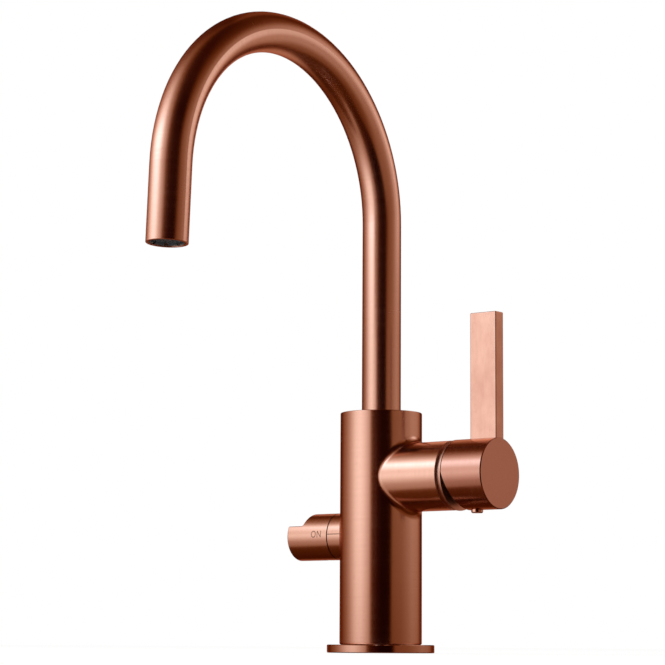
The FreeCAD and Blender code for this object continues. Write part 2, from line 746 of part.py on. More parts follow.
at_outlet(turned("aerator_seal", rectangle(
    f"{AERATOR_R} - aerator_seal_width", AERATOR_R,
    AERATOR_TOP, f"{AERATOR_TOP} + aerator_seal_thick"), "V_Axis"))

# Cartridge: base with seals, ceramic discs, housing, turning carrier, nut, trim ring

WAYS = (
    ("hot", "supply_side", "-way_drop"),
    ("cold", "-supply_side", "-way_drop"),
    ("mixed", "0", "mixed_rise"),
)
SEAL_R = "(way_dia / 2 + fit_gap + seal_section)"
base = on_lever_axis(turned("cartridge_base", [
    (BASE_BACK, "0"),
    (BASE_BACK, "cartridge_dia / 2"),
    (BASE_STEP, "cartridge_dia / 2"),
    (BASE_STEP, f"{HOUSING_BORE_R} - fit_gap"),
    (BASE_FRONT, f"{HOUSING_BORE_R} - fit_gap"),
    (BASE_FRONT, "0"),
]))
cartridge_seals = doc.addObject("Part::Compound", "cartridge_seals")
seal_rings = []
for title, side, rise in WAYS:
    drill(base, f"base_{title}_way", "YZ_Plane", (side, rise), "way_dia / 2",
          f"{BASE_FRONT} - {BASE_BACK}", BASE_BACK, reversed_way=True)
    groove = sketch_on(base, f"base_{title}_groove_circles", "YZ_Plane", BASE_BACK)
    draw_circle(groove, side, rise, f"{SEAL_R} + seal_section / 2 + fit_gap")
    draw_circle(groove, side, rise, f"{SEAL_R} - seal_section / 2 - fit_gap")
    extrude(base, "Pocket", f"base_{title}_groove", groove, "seal_section - seal_squeeze",
            reversed_way=True)
    ring = round_ring(f"{title}_seal", SEAL_R, "seal_section",
                      "cartridge_floor + seal_section / 2", Vector(1, 0, 0))
    bind(ring, ".Placement.Base.y", side)
    bind(ring, ".Placement.Base.z", rise)
    seal_rings.append(ring)
cartridge_seals.Links = seal_rings
nodes.append(on_lever_axis(cartridge_seals))

FIXED_R = f"({HOUSING_BORE_R} - disc_clear)"
fixed_disc = on_lever_axis(turned("fixed_disc", [
    (BASE_FRONT, "0"),
    (BASE_FRONT, FIXED_R),
    (FIXED_FRONT, FIXED_R),
    (FIXED_FRONT, "0"),
]))
for title, side, rise in WAYS:
    drill(fixed_disc, f"disc_{title}_way", "YZ_Plane", (side, rise), "way_dia / 2", "disc_thick",
          BASE_FRONT, reversed_way=True)

moving_disc = on_lever_axis(turned("moving_disc", [
    (MOVING_BACK, "0"),
    (MOVING_BACK, "moving_disc_dia / 2"),
    (MOVING_FRONT, "moving_disc_dia / 2"),
    (MOVING_FRONT, "0"),
]))
cut_outline(moving_disc, "disc_notch", "YZ_Plane", rectangle(
    "-disc_notch_width / 2", "disc_notch_width / 2",
    "disc_notch_foot", "moving_disc_dia / 2 + drill_over"),
    "disc_thick", MOVING_BACK, reversed_way=True)

SOCKET_FLOOR = f"({MOVING_FRONT} + holder_floor)"
on_lever_axis(turned("disc_holder", [
    (MOVING_FRONT, "0"),
    (MOVING_FRONT, "holder_plate_dia / 2"),
    (PLATE_FRONT, "holder_plate_dia / 2"),
    (PLATE_FRONT, "holder_boss_dia / 2"),
    (HOLDER_FRONT, "holder_boss_dia / 2"),
    (HOLDER_FRONT, "ball_dia / 2 + 2 * running_gap"),
    (SOCKET_FLOOR, "ball_dia / 2 + 2 * running_gap"),
    (SOCKET_FLOOR, "0"),
]))

on_lever_axis(turned("cartridge_housing", [
    (BASE_STEP, HOUSING_BORE_R),
    (BASE_STEP, "cartridge_dia / 2"),
    (HOUSING_FRONT, "cartridge_dia / 2"),
    (HOUSING_FRONT, "nose_dia / 2 + running_gap"),
    (LIP_BACK, "nose_dia / 2 + running_gap"),
    (LIP_BACK, HOUSING_BORE_R),
]))

CARRIER_BACK = f"({PLATE_FRONT} + play_gap)"
CARRIER_STEP = f"({LIP_BACK} - running_gap)"
CARRIER_R = f"({HOUSING_BORE_R} - running_gap)"
GUIDE_TOP = f"({HOLDER_FRONT} + play_gap)"
GUIDE_HALF = "(holder_boss_dia / 2 + play_gap)"
SLIDE_TRAVEL = "(ball_arm * tilt_angle * pi / 180)"
carrier = on_lever_axis(turned("cartridge_carrier", [
    (CARRIER_BACK, "0"),
    (CARRIER_BACK, CARRIER_R),
    (CARRIER_STEP, CARRIER_R),
    (CARRIER_STEP, "nose_dia / 2"),
    (NOSE_FRONT, "nose_dia / 2"),
    (NOSE_FRONT, "0"),
]))
cut_outline(carrier, "disc_guide", "YZ_Plane", rectangle(
    f"-{GUIDE_HALF}", GUIDE_HALF, f"-{GUIDE_HALF}", f"{GUIDE_HALF} + {SLIDE_TRAVEL}"),
    f"{GUIDE_TOP} - {CARRIER_BACK}", CARRIER_BACK, reversed_way=True)
STEM_SIDE = "(stem_width / 2 + 2 * running_gap)"
cut_outline(carrier, "stem_slot", "YZ_Plane", rectangle(
    f"-{STEM_SIDE}", STEM_SIDE, "-slot_half", "slot_half"),
    f"{NOSE_FRONT} - {CARRIER_BACK}", CARRIER_BACK, reversed_way=True)
drill(carrier, "pin_hole", "XZ_Plane", (PIVOT, "0"), "pivot_dia / 2 + fit_gap", "nose_dia",
      both_ways=True)

pin = turned("stem_pin", [
    ("-nose_dia / 2 + play_gap", "0"),
    ("-nose_dia / 2 + play_gap", "pivot_dia / 2"),
    ("nose_dia / 2 - play_gap", "pivot_dia / 2"),
    ("nose_dia / 2 - play_gap", "0"),
])
pin.Placement = Placement(Vector(), Rotation(Vector(0, 0, 1), 90))
bind(pin, ".Placement.Base.x", PIVOT)
on_lever_axis(pin)

NUT_BORE_R = "(nose_dia / 2 + nut_bore_over)"
nut = on_lever_axis(turned("cartridge_nut", rectangle(
    HOUSING_FRONT, NUT_FRONT, NUT_BORE_R, "nut_dia / 2")))
nut_slot = cut_outline(nut, "nut_slot", "YZ_Plane", rectangle(
    "-nut_slot_width / 2", "nut_slot_width / 2",
    f"{NUT_BORE_R} - drill_over", "nut_dia / 2 + drill_over"),
    "nut_slot_depth", NUT_FRONT)
polar(nut, "nut_slots", nut_slot, "X_Axis", NUT_SLOTS)

on_lever_axis(turned("trim_ring", [
    (NUT_FRONT, "trim_bore / 2"),
    (NUT_FRONT, "nut_dia / 2"),
    (BRANCH_END, "nut_dia / 2"),
    (BRANCH_END, "groove_dia / 2"),
    (TRIM_STEP, "groove_dia / 2"),
    (TRIM_STEP, HUB_R),
    (TRIM_FRONT, HUB_R),
    (TRIM_FRONT, "trim_bore / 2"),
]))

# Lever: stem, hub with blade, set screw and its plug

stem = on_lever_axis(new_body("lever_stem"))
ball = stem.newObject("PartDesign::AdditiveSphere", "stem_ball")
bind(ball, "Radius", "ball_dia / 2")
bind(ball, ".Placement.Base.x", BALL)
neck_circle = sketch_on(stem, "stem_neck_circle", "YZ_Plane", BALL)
draw_circle(neck_circle, "0", "0", "ball_neck_dia / 2")
extrude(stem, "Pad", "stem_neck", neck_circle, "ball_arm")
pad_outline(stem, "stem_bar", "YZ_Plane", rectangle(
    "-stem_width / 2", "stem_width / 2", "-stem_width / 2", "stem_width / 2"),
    f"{STEM_END} - {PIVOT} + stem_back", f"{PIVOT} - stem_back")
drill(stem, "stem_pin_hole", "XZ_Plane", (PIVOT, "0"), "pivot_dia / 2 + running_gap", "nose_dia",
      both_ways=True)

handle = on_lever_axis(new_body("lever_handle"))
pad_outline(handle, "blade", "XZ_Plane", rectangle(
    f"{HUB_END} - blade_width", HUB_END, f"{HUB_R} - hub_wall / 2", "blade_reach"),
    "blade_thick", both_ways=True)
soften(handle, "blade_rounds", "blade_edge", lambda edge: edge.BoundBox.ZMax > SIZES["hub_dia"])
add_turning(handle, "hub", [
    (HUB_END, "0"),
    (HUB_END, f"{HUB_R} - hub_edge"),
    (f"{HUB_END} - hub_edge", HUB_R),
    (HUB_BACK, HUB_R),
    (HUB_BACK, HUB_RECESS_R),
    (HUB_FLOOR, HUB_RECESS_R),
    (HUB_FLOOR, "hub_boss_dia / 2"),
    (HUB_BOSS_BACK, "hub_boss_dia / 2"),
    (HUB_BOSS_BACK, "0"),
])
BEVEL_FOOT = f"(-{HUB_R} - drill_over)"
cut_outline(handle, "tilt_bevel", "XZ_Plane", [
    (f"{HUB_BACK} - drill_over", "bevel_rise"),
    (HUB_BACK, "bevel_rise"),
    (f"{HUB_BACK} + (bevel_rise - {BEVEL_FOOT}) * tan(bevel_angle * 1 deg)", BEVEL_FOOT),
    (f"{HUB_BACK} - drill_over", BEVEL_FOOT),
], "hub_dia + drill_over", both_ways=True)
STEM_SEAT = "(stem_width / 2 + fit_gap)"
cut_outline(handle, "stem_socket", "YZ_Plane", rectangle(
    f"-{STEM_SEAT}", STEM_SEAT, f"-{STEM_SEAT}", STEM_SEAT),
    f"{STEM_END} - {HUB_BOSS_BACK} + fit_gap", HUB_BOSS_BACK, reversed_way=True)
drill(handle, "set_screw_hole", "XY_Plane", (SCREW_STATION, "0"), "set_screw_dia / 2 + fit_gap",
      "hub_boss_dia / 2 + play_gap")
drill(handle, "plug_hole", "XY_Plane", (SCREW_STATION, "0"), "plug_dia / 2 + fit_gap",
      "hub_wall + drill_over", f"drill_over - {HUB_RECESS_R}")

SET_SCREW_TOP = "(-stem_width / 2 - fit_gap)"
set_screw = turned("lever_set_screw", [
    ("0", SET_SCREW_TOP),
    ("set_screw_dia / 2", SET_SCREW_TOP),
    ("set_screw_dia / 2", f"{SET_SCREW_TOP} - set_screw_length"),
    ("0", f"{SET_SCREW_TOP} - set_screw_length"),
], "V_Axis")
cut_outline(set_screw, "set_screw_key", "XY_Plane", hexagon("set_screw_dia / 2"), "set_screw_length / 2",
            f"{SET_SCREW_TOP} - set_screw_length", reversed_way=True)
bind(set_screw, ".Placement.Base.x", SCREW_STATION)
on_lever_axis(set_screw)

PLUG_FOOT = f"(-{HUB_R} - plug_stand)"
plug = turned("set_screw_plug", [
    ("0", f"-{HUB_RECESS_R}"),
    ("plug_dia / 2", f"-{HUB_RECESS_R}"),
    ("plug_dia / 2", f"{PLUG_FOOT} + plug_edge"),
    ("plug_dia / 2 - plug_edge", PLUG_FOOT),
    ("0", PLUG_FOOT),
], "V_Axis")
bind(plug, ".Placement.Base.x", SCREW_STATION)
on_lever_axis(plug)

# Dishwasher shut-off: headwork, discs, spindle, knob

RING_DEEP = f"({SKIRT_R} - ring_section)"
HEADWORK_RING = f"({SKIRT_FOOT} + headwork_ring_rise)"
headwork = on_valve_axis(turned("headwork_body", [
    (SKIRT_FOOT, SKIRT_BORE_R),
    (SKIRT_FOOT, SKIRT_R),
    (f"{HEADWORK_RING} - ring_groove_width / 2", SKIRT_R),
    (f"{HEADWORK_RING} - ring_groove_width / 2", RING_DEEP),
    (f"{HEADWORK_RING} + ring_groove_width / 2", RING_DEEP),
    (f"{HEADWORK_RING} + ring_groove_width / 2", SKIRT_R),
    (FLANGE_BACK, SKIRT_R),
    (FLANGE_BACK, "headwork_flange_dia / 2"),
    (FLANGE_FRONT, "headwork_flange_dia / 2"),
    (FLANGE_FRONT, "headwork_nose_dia / 2"),
    (HEADWORK_END, "headwork_nose_dia / 2"),
    (HEADWORK_END, f"{SPINDLE_R} + running_gap"),
    (CHAMBER_END, f"{SPINDLE_R} + running_gap"),
    (CHAMBER_END, SKIRT_BORE_R),
]))
cut_outline(headwork, "side_windows", "XY_Plane", rectangle(
    VALVE_MOVING_BACK, VALVE_MOVING_FRONT, "-window_width / 2", "window_width / 2"),
    "headwork_dia + drill_over", both_ways=True)

headwork_ring = round_ring("headwork_o_ring", f"{SKIRT_R} - ring_section / 2", "ring_section",
                           f"-{HEADWORK_RING}", Vector(1, 0, 0))
bind(headwork_ring, ".Placement.Base.z", VALVE_HEIGHT)
nodes.append(headwork_ring)

on_valve_axis(turned("shutoff_seat_seal", rectangle(
    "valve_floor", SKIRT_FOOT, "seat_seal_bore / 2", SKIRT_R)))

VALVE_DISC_R = f"({SKIRT_BORE_R} - running_gap)"
valve_fixed = on_valve_axis(turned("shutoff_fixed_disc", [
    (SKIRT_FOOT, "0"),
    (SKIRT_FOOT, VALVE_DISC_R),
    (VALVE_FIXED_FRONT, VALVE_DISC_R),
    (VALVE_FIXED_FRONT, "0"),
]))
fixed_hole = drill(valve_fixed, "disc_hole", "YZ_Plane", ("valve_hole_side", "0"), "valve_hole_dia / 2",
                   "valve_disc_thick", SKIRT_FOOT, reversed_way=True)
polar(valve_fixed, "disc_holes", fixed_hole, "X_Axis", VALVE_WAYS)

valve_moving = on_valve_axis(turned("shutoff_moving_disc", [
    (VALVE_MOVING_BACK, "0"),
    (VALVE_MOVING_BACK, VALVE_DISC_R),
    (VALVE_MOVING_FRONT, VALVE_DISC_R),
    (VALVE_MOVING_FRONT, "0"),
]))
side_notch = cut_outline(valve_moving, "side_notch", "YZ_Plane", rectangle(
    "valve_hole_side - valve_hole_dia / 2", f"{VALVE_DISC_R} + drill_over",
    "-valve_hole_dia / 2", "valve_hole_dia / 2"),
    "valve_disc_thick", VALVE_MOVING_BACK, reversed_way=True)
polar(valve_moving, "side_notches", side_notch, "X_Axis", VALVE_WAYS)
KEY_HALF = "(spindle_key_width / 2 + running_gap)"
cut_outline(valve_moving, "key_slot", "YZ_Plane", rectangle(
    f"-{KEY_HALF}", KEY_HALF, f"-{VALVE_DISC_R} - drill_over", f"{VALVE_DISC_R} + drill_over"),
    "spindle_key_depth", VALVE_MOVING_FRONT)

SPINDLE_RING = f"({CHAMBER_END} + spindle_ring_rise)"
SPINDLE_DEEP = f"({SPINDLE_R} - spindle_ring_section)"
SPINDLE_GROOVE = "(spindle_ring_section / 2 + running_gap)"
spindle = on_valve_axis(turned("shutoff_spindle", [
    (FOOT_BACK, "0"),
    (FOOT_BACK, VALVE_DISC_R),
    (FOOT_FRONT, VALVE_DISC_R),
    (FOOT_FRONT, SPINDLE_R),
    (f"{SPINDLE_RING} - {SPINDLE_GROOVE}", SPINDLE_R),
    (f"{SPINDLE_RING} - {SPINDLE_GROOVE}", SPINDLE_DEEP),
    (f"{SPINDLE_RING} + {SPINDLE_GROOVE}", SPINDLE_DEEP),
    (f"{SPINDLE_RING} + {SPINDLE_GROOVE}", SPINDLE_R),
    (CLIP_BACK, SPINDLE_R),
    (CLIP_BACK, f"{SPINDLE_R} - clip_depth"),
    (CLIP_FRONT, f"{SPINDLE_R} - clip_depth"),
    (CLIP_FRONT, SPINDLE_R),
    (SPINDLE_END, SPINDLE_R),
    (SPINDLE_END, "0"),
]))
KEY_REACH = f"({VALVE_DISC_R} - running_gap)"
pad_outline(spindle, "drive_key", "YZ_Plane", rectangle(
    "-spindle_key_width / 2", "spindle_key_width / 2", f"-{KEY_REACH} / 2", f"{KEY_REACH} / 2"),
    "spindle_key_depth", FOOT_BACK, reversed_way=True)
cut_outline(spindle, "drive_flat", "YZ_Plane", rectangle(
    f"-{SPINDLE_R} - drill_over", f"{SPINDLE_R} + drill_over",
    f"-{SPINDLE_R} - drill_over", "-spindle_flat"),
    f"{SPINDLE_END} - {KNOB_FLOOR}", KNOB_FLOOR, reversed_way=True)

spindle_ring = round_ring("spindle_o_ring", f"{SPINDLE_R} - spindle_ring_section / 2",
                          "spindle_ring_section", f"-{SPINDLE_RING}", Vector(1, 0, 0))
bind(spindle_ring, ".Placement.Base.z", VALVE_HEIGHT)
nodes.append(spindle_ring)

CLIP_R = f"({SPINDLE_R} - clip_depth + fit_gap)"
clip = on_valve_axis(turned("spindle_clip", rectangle(
    CLIP_BACK, CLIP_FRONT, CLIP_R, f"{CLIP_R} + clip_width")))
cut_outline(clip, "clip_mouth", "YZ_Plane", rectangle(
    "-clip_gap / 2", "clip_gap / 2", "0", f"{CLIP_R} + clip_width + drill_over"),
    "clip_thick", CLIP_BACK, reversed_way=True)

knob = on_valve_axis(turned("shutoff_knob", [
    (KNOB_BACK, "knob_recess_dia / 2"),
    (KNOB_BACK, "boss_dia / 2"),
    (KNOB_END, "boss_dia / 2"),
    (KNOB_END, "0"),
    (f"{SPINDLE_END} + play_gap", "0"),
    (f"{SPINDLE_END} + play_gap", f"{SPINDLE_R} + fit_gap"),
    (KNOB_FLOOR, f"{SPINDLE_R} + fit_gap"),
    (KNOB_FLOOR, "knob_recess_dia / 2"),
]))
RAMP_FOOT = f"({KNOB_END} - knob_flat_length)"
RAMP_TOP = "(boss_dia / 2 + drill_over)"
cut_outline(knob, "finger_flat", "XZ_Plane", [
    (RAMP_FOOT, "knob_flat_rise"),
    (f"{KNOB_END} + drill_over", "knob_flat_rise"),
    (f"{KNOB_END} + drill_over", RAMP_TOP),
    (f"{RAMP_FOOT} - ({RAMP_TOP} - knob_flat_rise) * tan(knob_ramp_angle * 1 deg)", RAMP_TOP),
], "boss_dia + drill_over", both_ways=True)
drill(knob, "knob_screw_hole", "XY_Plane", (KNOB_SCREW, "0"), "knob_screw_dia / 2 + fit_gap",
      "boss_dia / 2 + drill_over")


def past_seam(edge):
    """True for an edge on the knob's outer side, past the seam with the boss."""
    box = edge.BoundBox
    outside = box.XMax > SIZES["boss_end"] + SIZES["knob_length"] / 2
    return outside and box.YLength + box.XLength > SIZES["spindle_dia"]


def on_ramp_foot(edge):
    """True for the inner corner where the finger flat meets its ramp."""
    box = edge.BoundBox
    return past_seam(edge) and box.XLength < SIZES["fit_gap"] and box.ZLength < SIZES["fit_gap"] and (
        box.XMax < SIZES["boss_end"] + SIZES["knob_length"] - SIZES["knob_flat_length"] / 2)


def on_knob_rim(edge):
    """True for the edges round the finger flat, its ramp and the knob's end."""
    box = edge.BoundBox
    return past_seam(edge) and max(-box.YMin, box.YMax) > SIZES["knob_recess_dia"] / 2


soften(knob, "ramp_foot_round", "knob_corner", on_ramp_foot)
soften(knob, "knob_rounds", "knob_edge", on_knob_rim)

KNOB_SCREW_TOP = "(-spindle_flat - fit_gap)"
KNOB_SCREW_FOOT = f"({KNOB_SCREW_TOP} - knob_screw_length)"
knob_screw = turned("knob_set_screw", [
    ("0", KNOB_SCREW_TOP),
    ("knob_screw_dia / 2", KNOB_SCREW_TOP),
    ("knob_screw_dia / 2", KNOB_SCREW_FOOT),
    ("0", KNOB_SCREW_FOOT),
], "V_Axis")
cut_outline(knob_screw, "knob_screw_key", "XY_Plane", hexagon("knob_screw_dia / 2"),
            "knob_screw_length / 3", KNOB_SCREW_FOOT, reversed_way=True)
on_valve_axis(knob_screw)
bind(knob_screw, ".Placement.Base.x", f"-{KNOB_SCREW}")

# Check every feature and write one file for each piece

doc.recompute()
faults = [item.Name for item in doc.Objects if "Invalid" in item.State or "Error" in item.State]
if faults:
    raise RuntimeError(f"failed to build: {faults}")
for item in doc.Objects:
    if item.TypeId in ("PartDesign::Pocket", "PartDesign::Groove"):
        if item.Shape.Volume > item.BaseFeature.Shape.Volume - SIZES["fit_gap"]:
            faults.append(item.Name)
if faults:
    raise RuntimeError(f"cut nothing: {faults}")
faults = [node.Label for node in nodes if node.Shape.isNull() or not node.Shape.isValid()]
if faults:
    raise RuntimeError(f"no sound shape: {faults}")

os.makedirs("parts", exist_ok=True)
for node in nodes:
    node.Shape.exportStep(f"parts/{node.Label}.step")
    print(node.Label, len(node.Shape.Solids), round(node.Shape.Volume, 1))
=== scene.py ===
# %% [markdown]
# # A kitchen mixer tap in brushed copper
# The tap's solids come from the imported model: body, spout, lever and shut-off, with their joints.
# This lesson gives them a finish, marks the shut-off, and sets up a camera and a small studio.
# The solids stay where they are. Everything is in metres, with Z up and the spout towards -Y.

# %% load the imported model
import json
import math

import bmesh
import bpy
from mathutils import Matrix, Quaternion, Vector


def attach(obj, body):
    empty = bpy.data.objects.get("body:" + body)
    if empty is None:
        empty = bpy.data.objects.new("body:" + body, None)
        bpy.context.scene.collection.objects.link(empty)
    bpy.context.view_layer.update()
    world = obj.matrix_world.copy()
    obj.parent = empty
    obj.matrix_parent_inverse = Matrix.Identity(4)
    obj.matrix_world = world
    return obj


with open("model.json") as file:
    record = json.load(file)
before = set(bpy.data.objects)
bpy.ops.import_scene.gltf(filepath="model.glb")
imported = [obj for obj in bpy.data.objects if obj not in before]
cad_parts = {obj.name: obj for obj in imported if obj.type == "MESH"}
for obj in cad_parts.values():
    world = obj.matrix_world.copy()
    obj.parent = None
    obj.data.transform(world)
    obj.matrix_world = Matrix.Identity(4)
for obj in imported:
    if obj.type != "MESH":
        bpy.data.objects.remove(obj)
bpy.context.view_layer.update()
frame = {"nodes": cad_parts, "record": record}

MM = 0.001
scene = bpy.context.scene
scene.view_settings.view_transform = "Standard"

# %% [markdown]
# ## Camera
# The photograph was taken from the lever's side, almost at worktop height, with a long lens that
# looks slightly up. Place, direction and lens come from fitting a camera to the tap's outline.
# A direction can be turned into a rotation with `to_track_quat`, and the small roll is added after.

# %% camera
CAMERA_PLACE = Vector((0.7666, -1.0512, 0.0041))
CAMERA_LOOKS = Vector((-0.6009, 0.7880, 0.1340))
CAMERA_ROLL = math.radians(0.34)
CAMERA_LENS = 125.2
SENSOR_WIDTH = 36.0

camera = bpy.data.objects.new("camera", bpy.data.cameras.new("camera"))
scene.collection.objects.link(camera)
camera.data.sensor_width = SENSOR_WIDTH
camera.data.lens = CAMERA_LENS
camera.location = CAMERA_PLACE
camera.rotation_mode = "QUATERNION"
aim = CAMERA_LOOKS.to_track_quat("-Z", "Y")
camera.rotation_quaternion = aim @ Quaternion((0, 0, 1), CAMERA_ROLL)
scene.camera = camera
print("camera is", round(CAMERA_PLACE.length, 3), "m from the tap")

# %% [markdown]
# ## Helpers for node trees
# A material is a small graph. These helpers keep each step to one line: `calc` does arithmetic on
# sockets or plain numbers, `spread` maps one range to another, `noise` makes a random pattern,
# `ramp` turns a value into a colour, and `blend` mixes two colours. `object_place` gives the point on
# the surface in the piece's own coordinates, so that a pattern rides with the piece.

# %% node helpers


def add(tree, kind, **settings):
    made = tree.nodes.new(kind)
    for name, value in settings.items():
        setattr(made, name, value)
    return made


def feed(tree, value, socket):
    """Link a socket, or set a plain value."""
    if isinstance(value, bpy.types.NodeSocket):
        tree.links.new(value, socket)
    else:
        socket.default_value = value


def calc(tree, operation, *values):
    made = add(tree, "ShaderNodeMath", operation=operation)
    for value, socket in zip(values, made.inputs):
        feed(tree, value, socket)
    return made.outputs["Value"]


def spread(tree, value, low, high, to_low=0.0, to_high=1.0):
    """Map a value from one range to another, held at the ends."""
    made = add(tree, "ShaderNodeMapRange")
    for name, number in zip(("Value", "From Min", "From Max", "To Min", "To Max"),
                            (value, low, high, to_low, to_high)):
        feed(tree, number, made.inputs[name])
    return made.outputs["Result"]


def combine(tree, x, y, z):
    made = add(tree, "ShaderNodeCombineXYZ")
    for value, socket in zip((x, y, z), made.inputs):
        feed(tree, value, socket)
    return made.outputs["Vector"]


def noise(tree, vector, scale, detail=2.0, roughness=0.5):
    made = add(tree, "ShaderNodeTexNoise")
    feed(tree, vector, made.inputs["Vector"])
    feed(tree, scale, made.inputs["Scale"])
    made.inputs["Detail"].default_value = detail
    made.inputs["Roughness"].default_value = roughness
    return made.outputs["Fac"]


def blend(tree, share, first, second):
    """Mix two colours. The Mix node has sockets for every type, and these are its colour ones."""
    made = add(tree, "ShaderNodeMix", data_type="RGBA")
    for value, number in zip((share, first, second), (0, 6, 7)):
        feed(tree, value, made.inputs[number])
    return made.outputs[2]


def ramp(tree, value, stops):
    """A colour ramp through (position, colour) stops."""
    made = add(tree, "ShaderNodeValToRGB")
    feed(tree, value, made.inputs["Fac"])
    marks = made.color_ramp.elements
    while len(marks) < len(stops):
        marks.new(1.0)
    for mark, (position, colour) in zip(marks, stops):
        mark.position = position
        mark.color = (*colour, 1.0)
    return made.outputs["Color"]


def object_place(tree):
    """The point on the surface, as x, y and z sockets and as one vector."""
    place = add(tree, "ShaderNodeTexCoord").outputs["Object"]
    split = add(tree, "ShaderNodeSeparateXYZ")
    tree.links.new(place, split.inputs["Vector"])
    return place, split.outputs["X"], split.outputs["Y"], split.outputs["Z"]


def radius_about(tree, first, second):
    """The distance from an axis, from the two coordinates across it."""
    squares = [calc(tree, "POWER", value, 2.0) for value in (first, second)]
    return calc(tree, "SQRT", calc(tree, "ADD", *squares))


print("helpers ready")

# %% [markdown]
# ## Studio
# Metal has no colour of its own in the dark: it shows what stands around it. In the photograph the
# tap reflects one large soft light on the left, darkness behind the camera and a dim warm wall on
# the right. A sphere round the tap carries these as glowing areas. Only mirror-like rays see it, so
# it doesn't show in the picture. The white background comes from the world: a camera ray or a mirrored
# one sees plain white, and all other rays get a soft pale light.

# %% world
PALE = (0.9, 0.9, 0.89, 1.0)
WHITE = (1.0, 1.0, 1.0, 1.0)
SOFT_LIGHT = 1.05

world = bpy.data.worlds.new("studio")
scene.world = world
world.use_nodes = True
sky = world.node_tree
sky.nodes.clear()
ray = add(sky, "ShaderNodeLightPath")
seen = calc(sky, "MAXIMUM", ray.outputs["Is Camera Ray"], ray.outputs["Is Glossy Ray"])
seen = calc(sky, "MAXIMUM", seen, ray.outputs["Is Transmission Ray"])
soft_light = add(sky, "ShaderNodeBackground")
soft_light.inputs["Color"].default_value = PALE
soft_light.inputs["Strength"].default_value = SOFT_LIGHT
white = add(sky, "ShaderNodeBackground")
white.inputs["Color"].default_value = WHITE
choose = add(sky, "ShaderNodeMixShader")
sky.links.new(seen, choose.inputs["Fac"])
sky.links.new(soft_light.outputs["Background"], choose.inputs[1])
sky.links.new(white.outputs["Background"], choose.inputs[2])
sky.links.new(choose.outputs["Shader"], add(sky, "ShaderNodeOutputWorld").inputs["Surface"])
print("world:", world.name, "with soft light of", SOFT_LIGHT)

# %% [markdown]
# ### Floor
# The tap stands on a pale worktop that runs out of the picture. A plain diffuse floor would turn grey
# away from the lamp, so to the camera it is mostly a white glow, and the rest keeps the tap's shadow.
# Mirrored rays pass through it, because the studio below gives the reflections there.

# %% floor
FLOOR_DROP = 0.2 * MM
FLOOR_HALF = 4.0
FLOOR_LIFT = 0.85


def new_material(name):
    material = bpy.data.materials.new(name)
    material.use_nodes = True
    tree = material.node_tree
    tree.nodes.clear()
    return material, tree


def finish_tree(tree, shader):
    tree.links.new(shader, add(tree, "ShaderNodeOutputMaterial").inputs["Surface"])


def new_piece(name, shape, material):
    """Turn a bmesh into an object that wears one material."""
    mesh = bpy.data.meshes.new(name)
    shape.to_mesh(mesh)
    shape.free()
    piece = bpy.data.objects.new(name, mesh)
    scene.collection.objects.link(piece)
    mesh.materials.append(material)
    return piece


floor_paint, tree = new_material("pale_floor")
matt = add(tree, "ShaderNodeBsdfDiffuse")
matt.inputs["Color"].default_value = PALE
glow = add(tree, "ShaderNodeEmission")
ray = add(tree, "ShaderNodeLightPath")
camera_share = calc(tree, "MULTIPLY", ray.outputs["Is Camera Ray"], FLOOR_LIFT)
both = add(tree, "ShaderNodeMixShader")
tree.links.new(camera_share, both.inputs["Fac"])
tree.links.new(matt.outputs["BSDF"], both.inputs[1])
tree.links.new(glow.outputs["Emission"], both.inputs[2])
finish_tree(tree, both.outputs["Shader"])

shape = bmesh.new()
bmesh.ops.create_grid(shape, x_segments=1, y_segments=1, size=FLOOR_HALF)
bmesh.ops.translate(shape, verts=shape.verts, vec=(0, 0, -FLOOR_DROP))
floor = new_piece("floor", shape, floor_paint)
floor.visible_glossy = False
print("floor spans", 2 * FLOOR_HALF, "m")

# %% [markdown]
# ### What the metal sees
# A few short tables put the reflections where the photograph has them. `LOW_ROUND`
# gives the brightness by the direction round the tap, in degrees from the camera. `HIGH_ROUND` takes
# over above the horizon, where the light is narrower and the wall on the right is dimmer up to a bright
# far end. `GLOW_UP` makes both stronger or weaker by the height. The `BACK` tables add light behind the
# tap, from the worktop and from above, the `FRONT` tables add the worktop's gleam below the light, and
# `EVEN_UP` adds an even glow below and above, where all directions meet. The last table tints the sum:
# bright areas are white, dark ones warm brown.

# %% reflected studio
SHELL_RADIUS = 0.6
SHELL_CENTRE = Vector((0, 0, 0.12))
CAMERA_TURN = math.atan2(CAMERA_PLACE.y, CAMERA_PLACE.x)
LOW_ROUND = [
    (-180, 0.55), (-170, 0.45), (-160, 0.08), (-142, 0.12), (-128, 0.26), (-112, 0.37), (-98, 0.56),
    (-86, 0.82), (-74, 1.10), (-62, 1.20), (-54, 1.15), (-44, 0.94), (-32, 0.66), (-28, 0.22),
    (-22, 0.06), (-8, 0.025), (0, 0.012), (24, 0.012), (27, 0.10), (31, 0.26), (58, 0.30), (78, 0.39),
    (96, 0.49), (116, 0.48), (128, 0.42), (138, 0.22), (148, 0.08), (160, 0.08), (170, 0.45), (180, 0.55),
]
LIGHT_MIDDLE = -62
HIGH_ROUND = [stop for stop in LOW_ROUND if stop[0] <= LIGHT_MIDDLE] + [
    (-55, 1.15), (-48, 0.80), (-42, 0.55), (-32, 0.36), (-25, 0.12), (-18, 0.05), (-8, 0.02),
    (24, 0.012), (31, 0.07), (38, 0.12), (48, 0.18), (62, 0.20), (78, 0.27), (92, 0.42), (104, 0.64),
    (118, 0.60), (128, 0.44), (138, 0.22), (148, 0.08), (160, 0.08), (170, 0.45), (180, 0.55),
]
HIGH_FROM = 12
HIGH_TO = 21
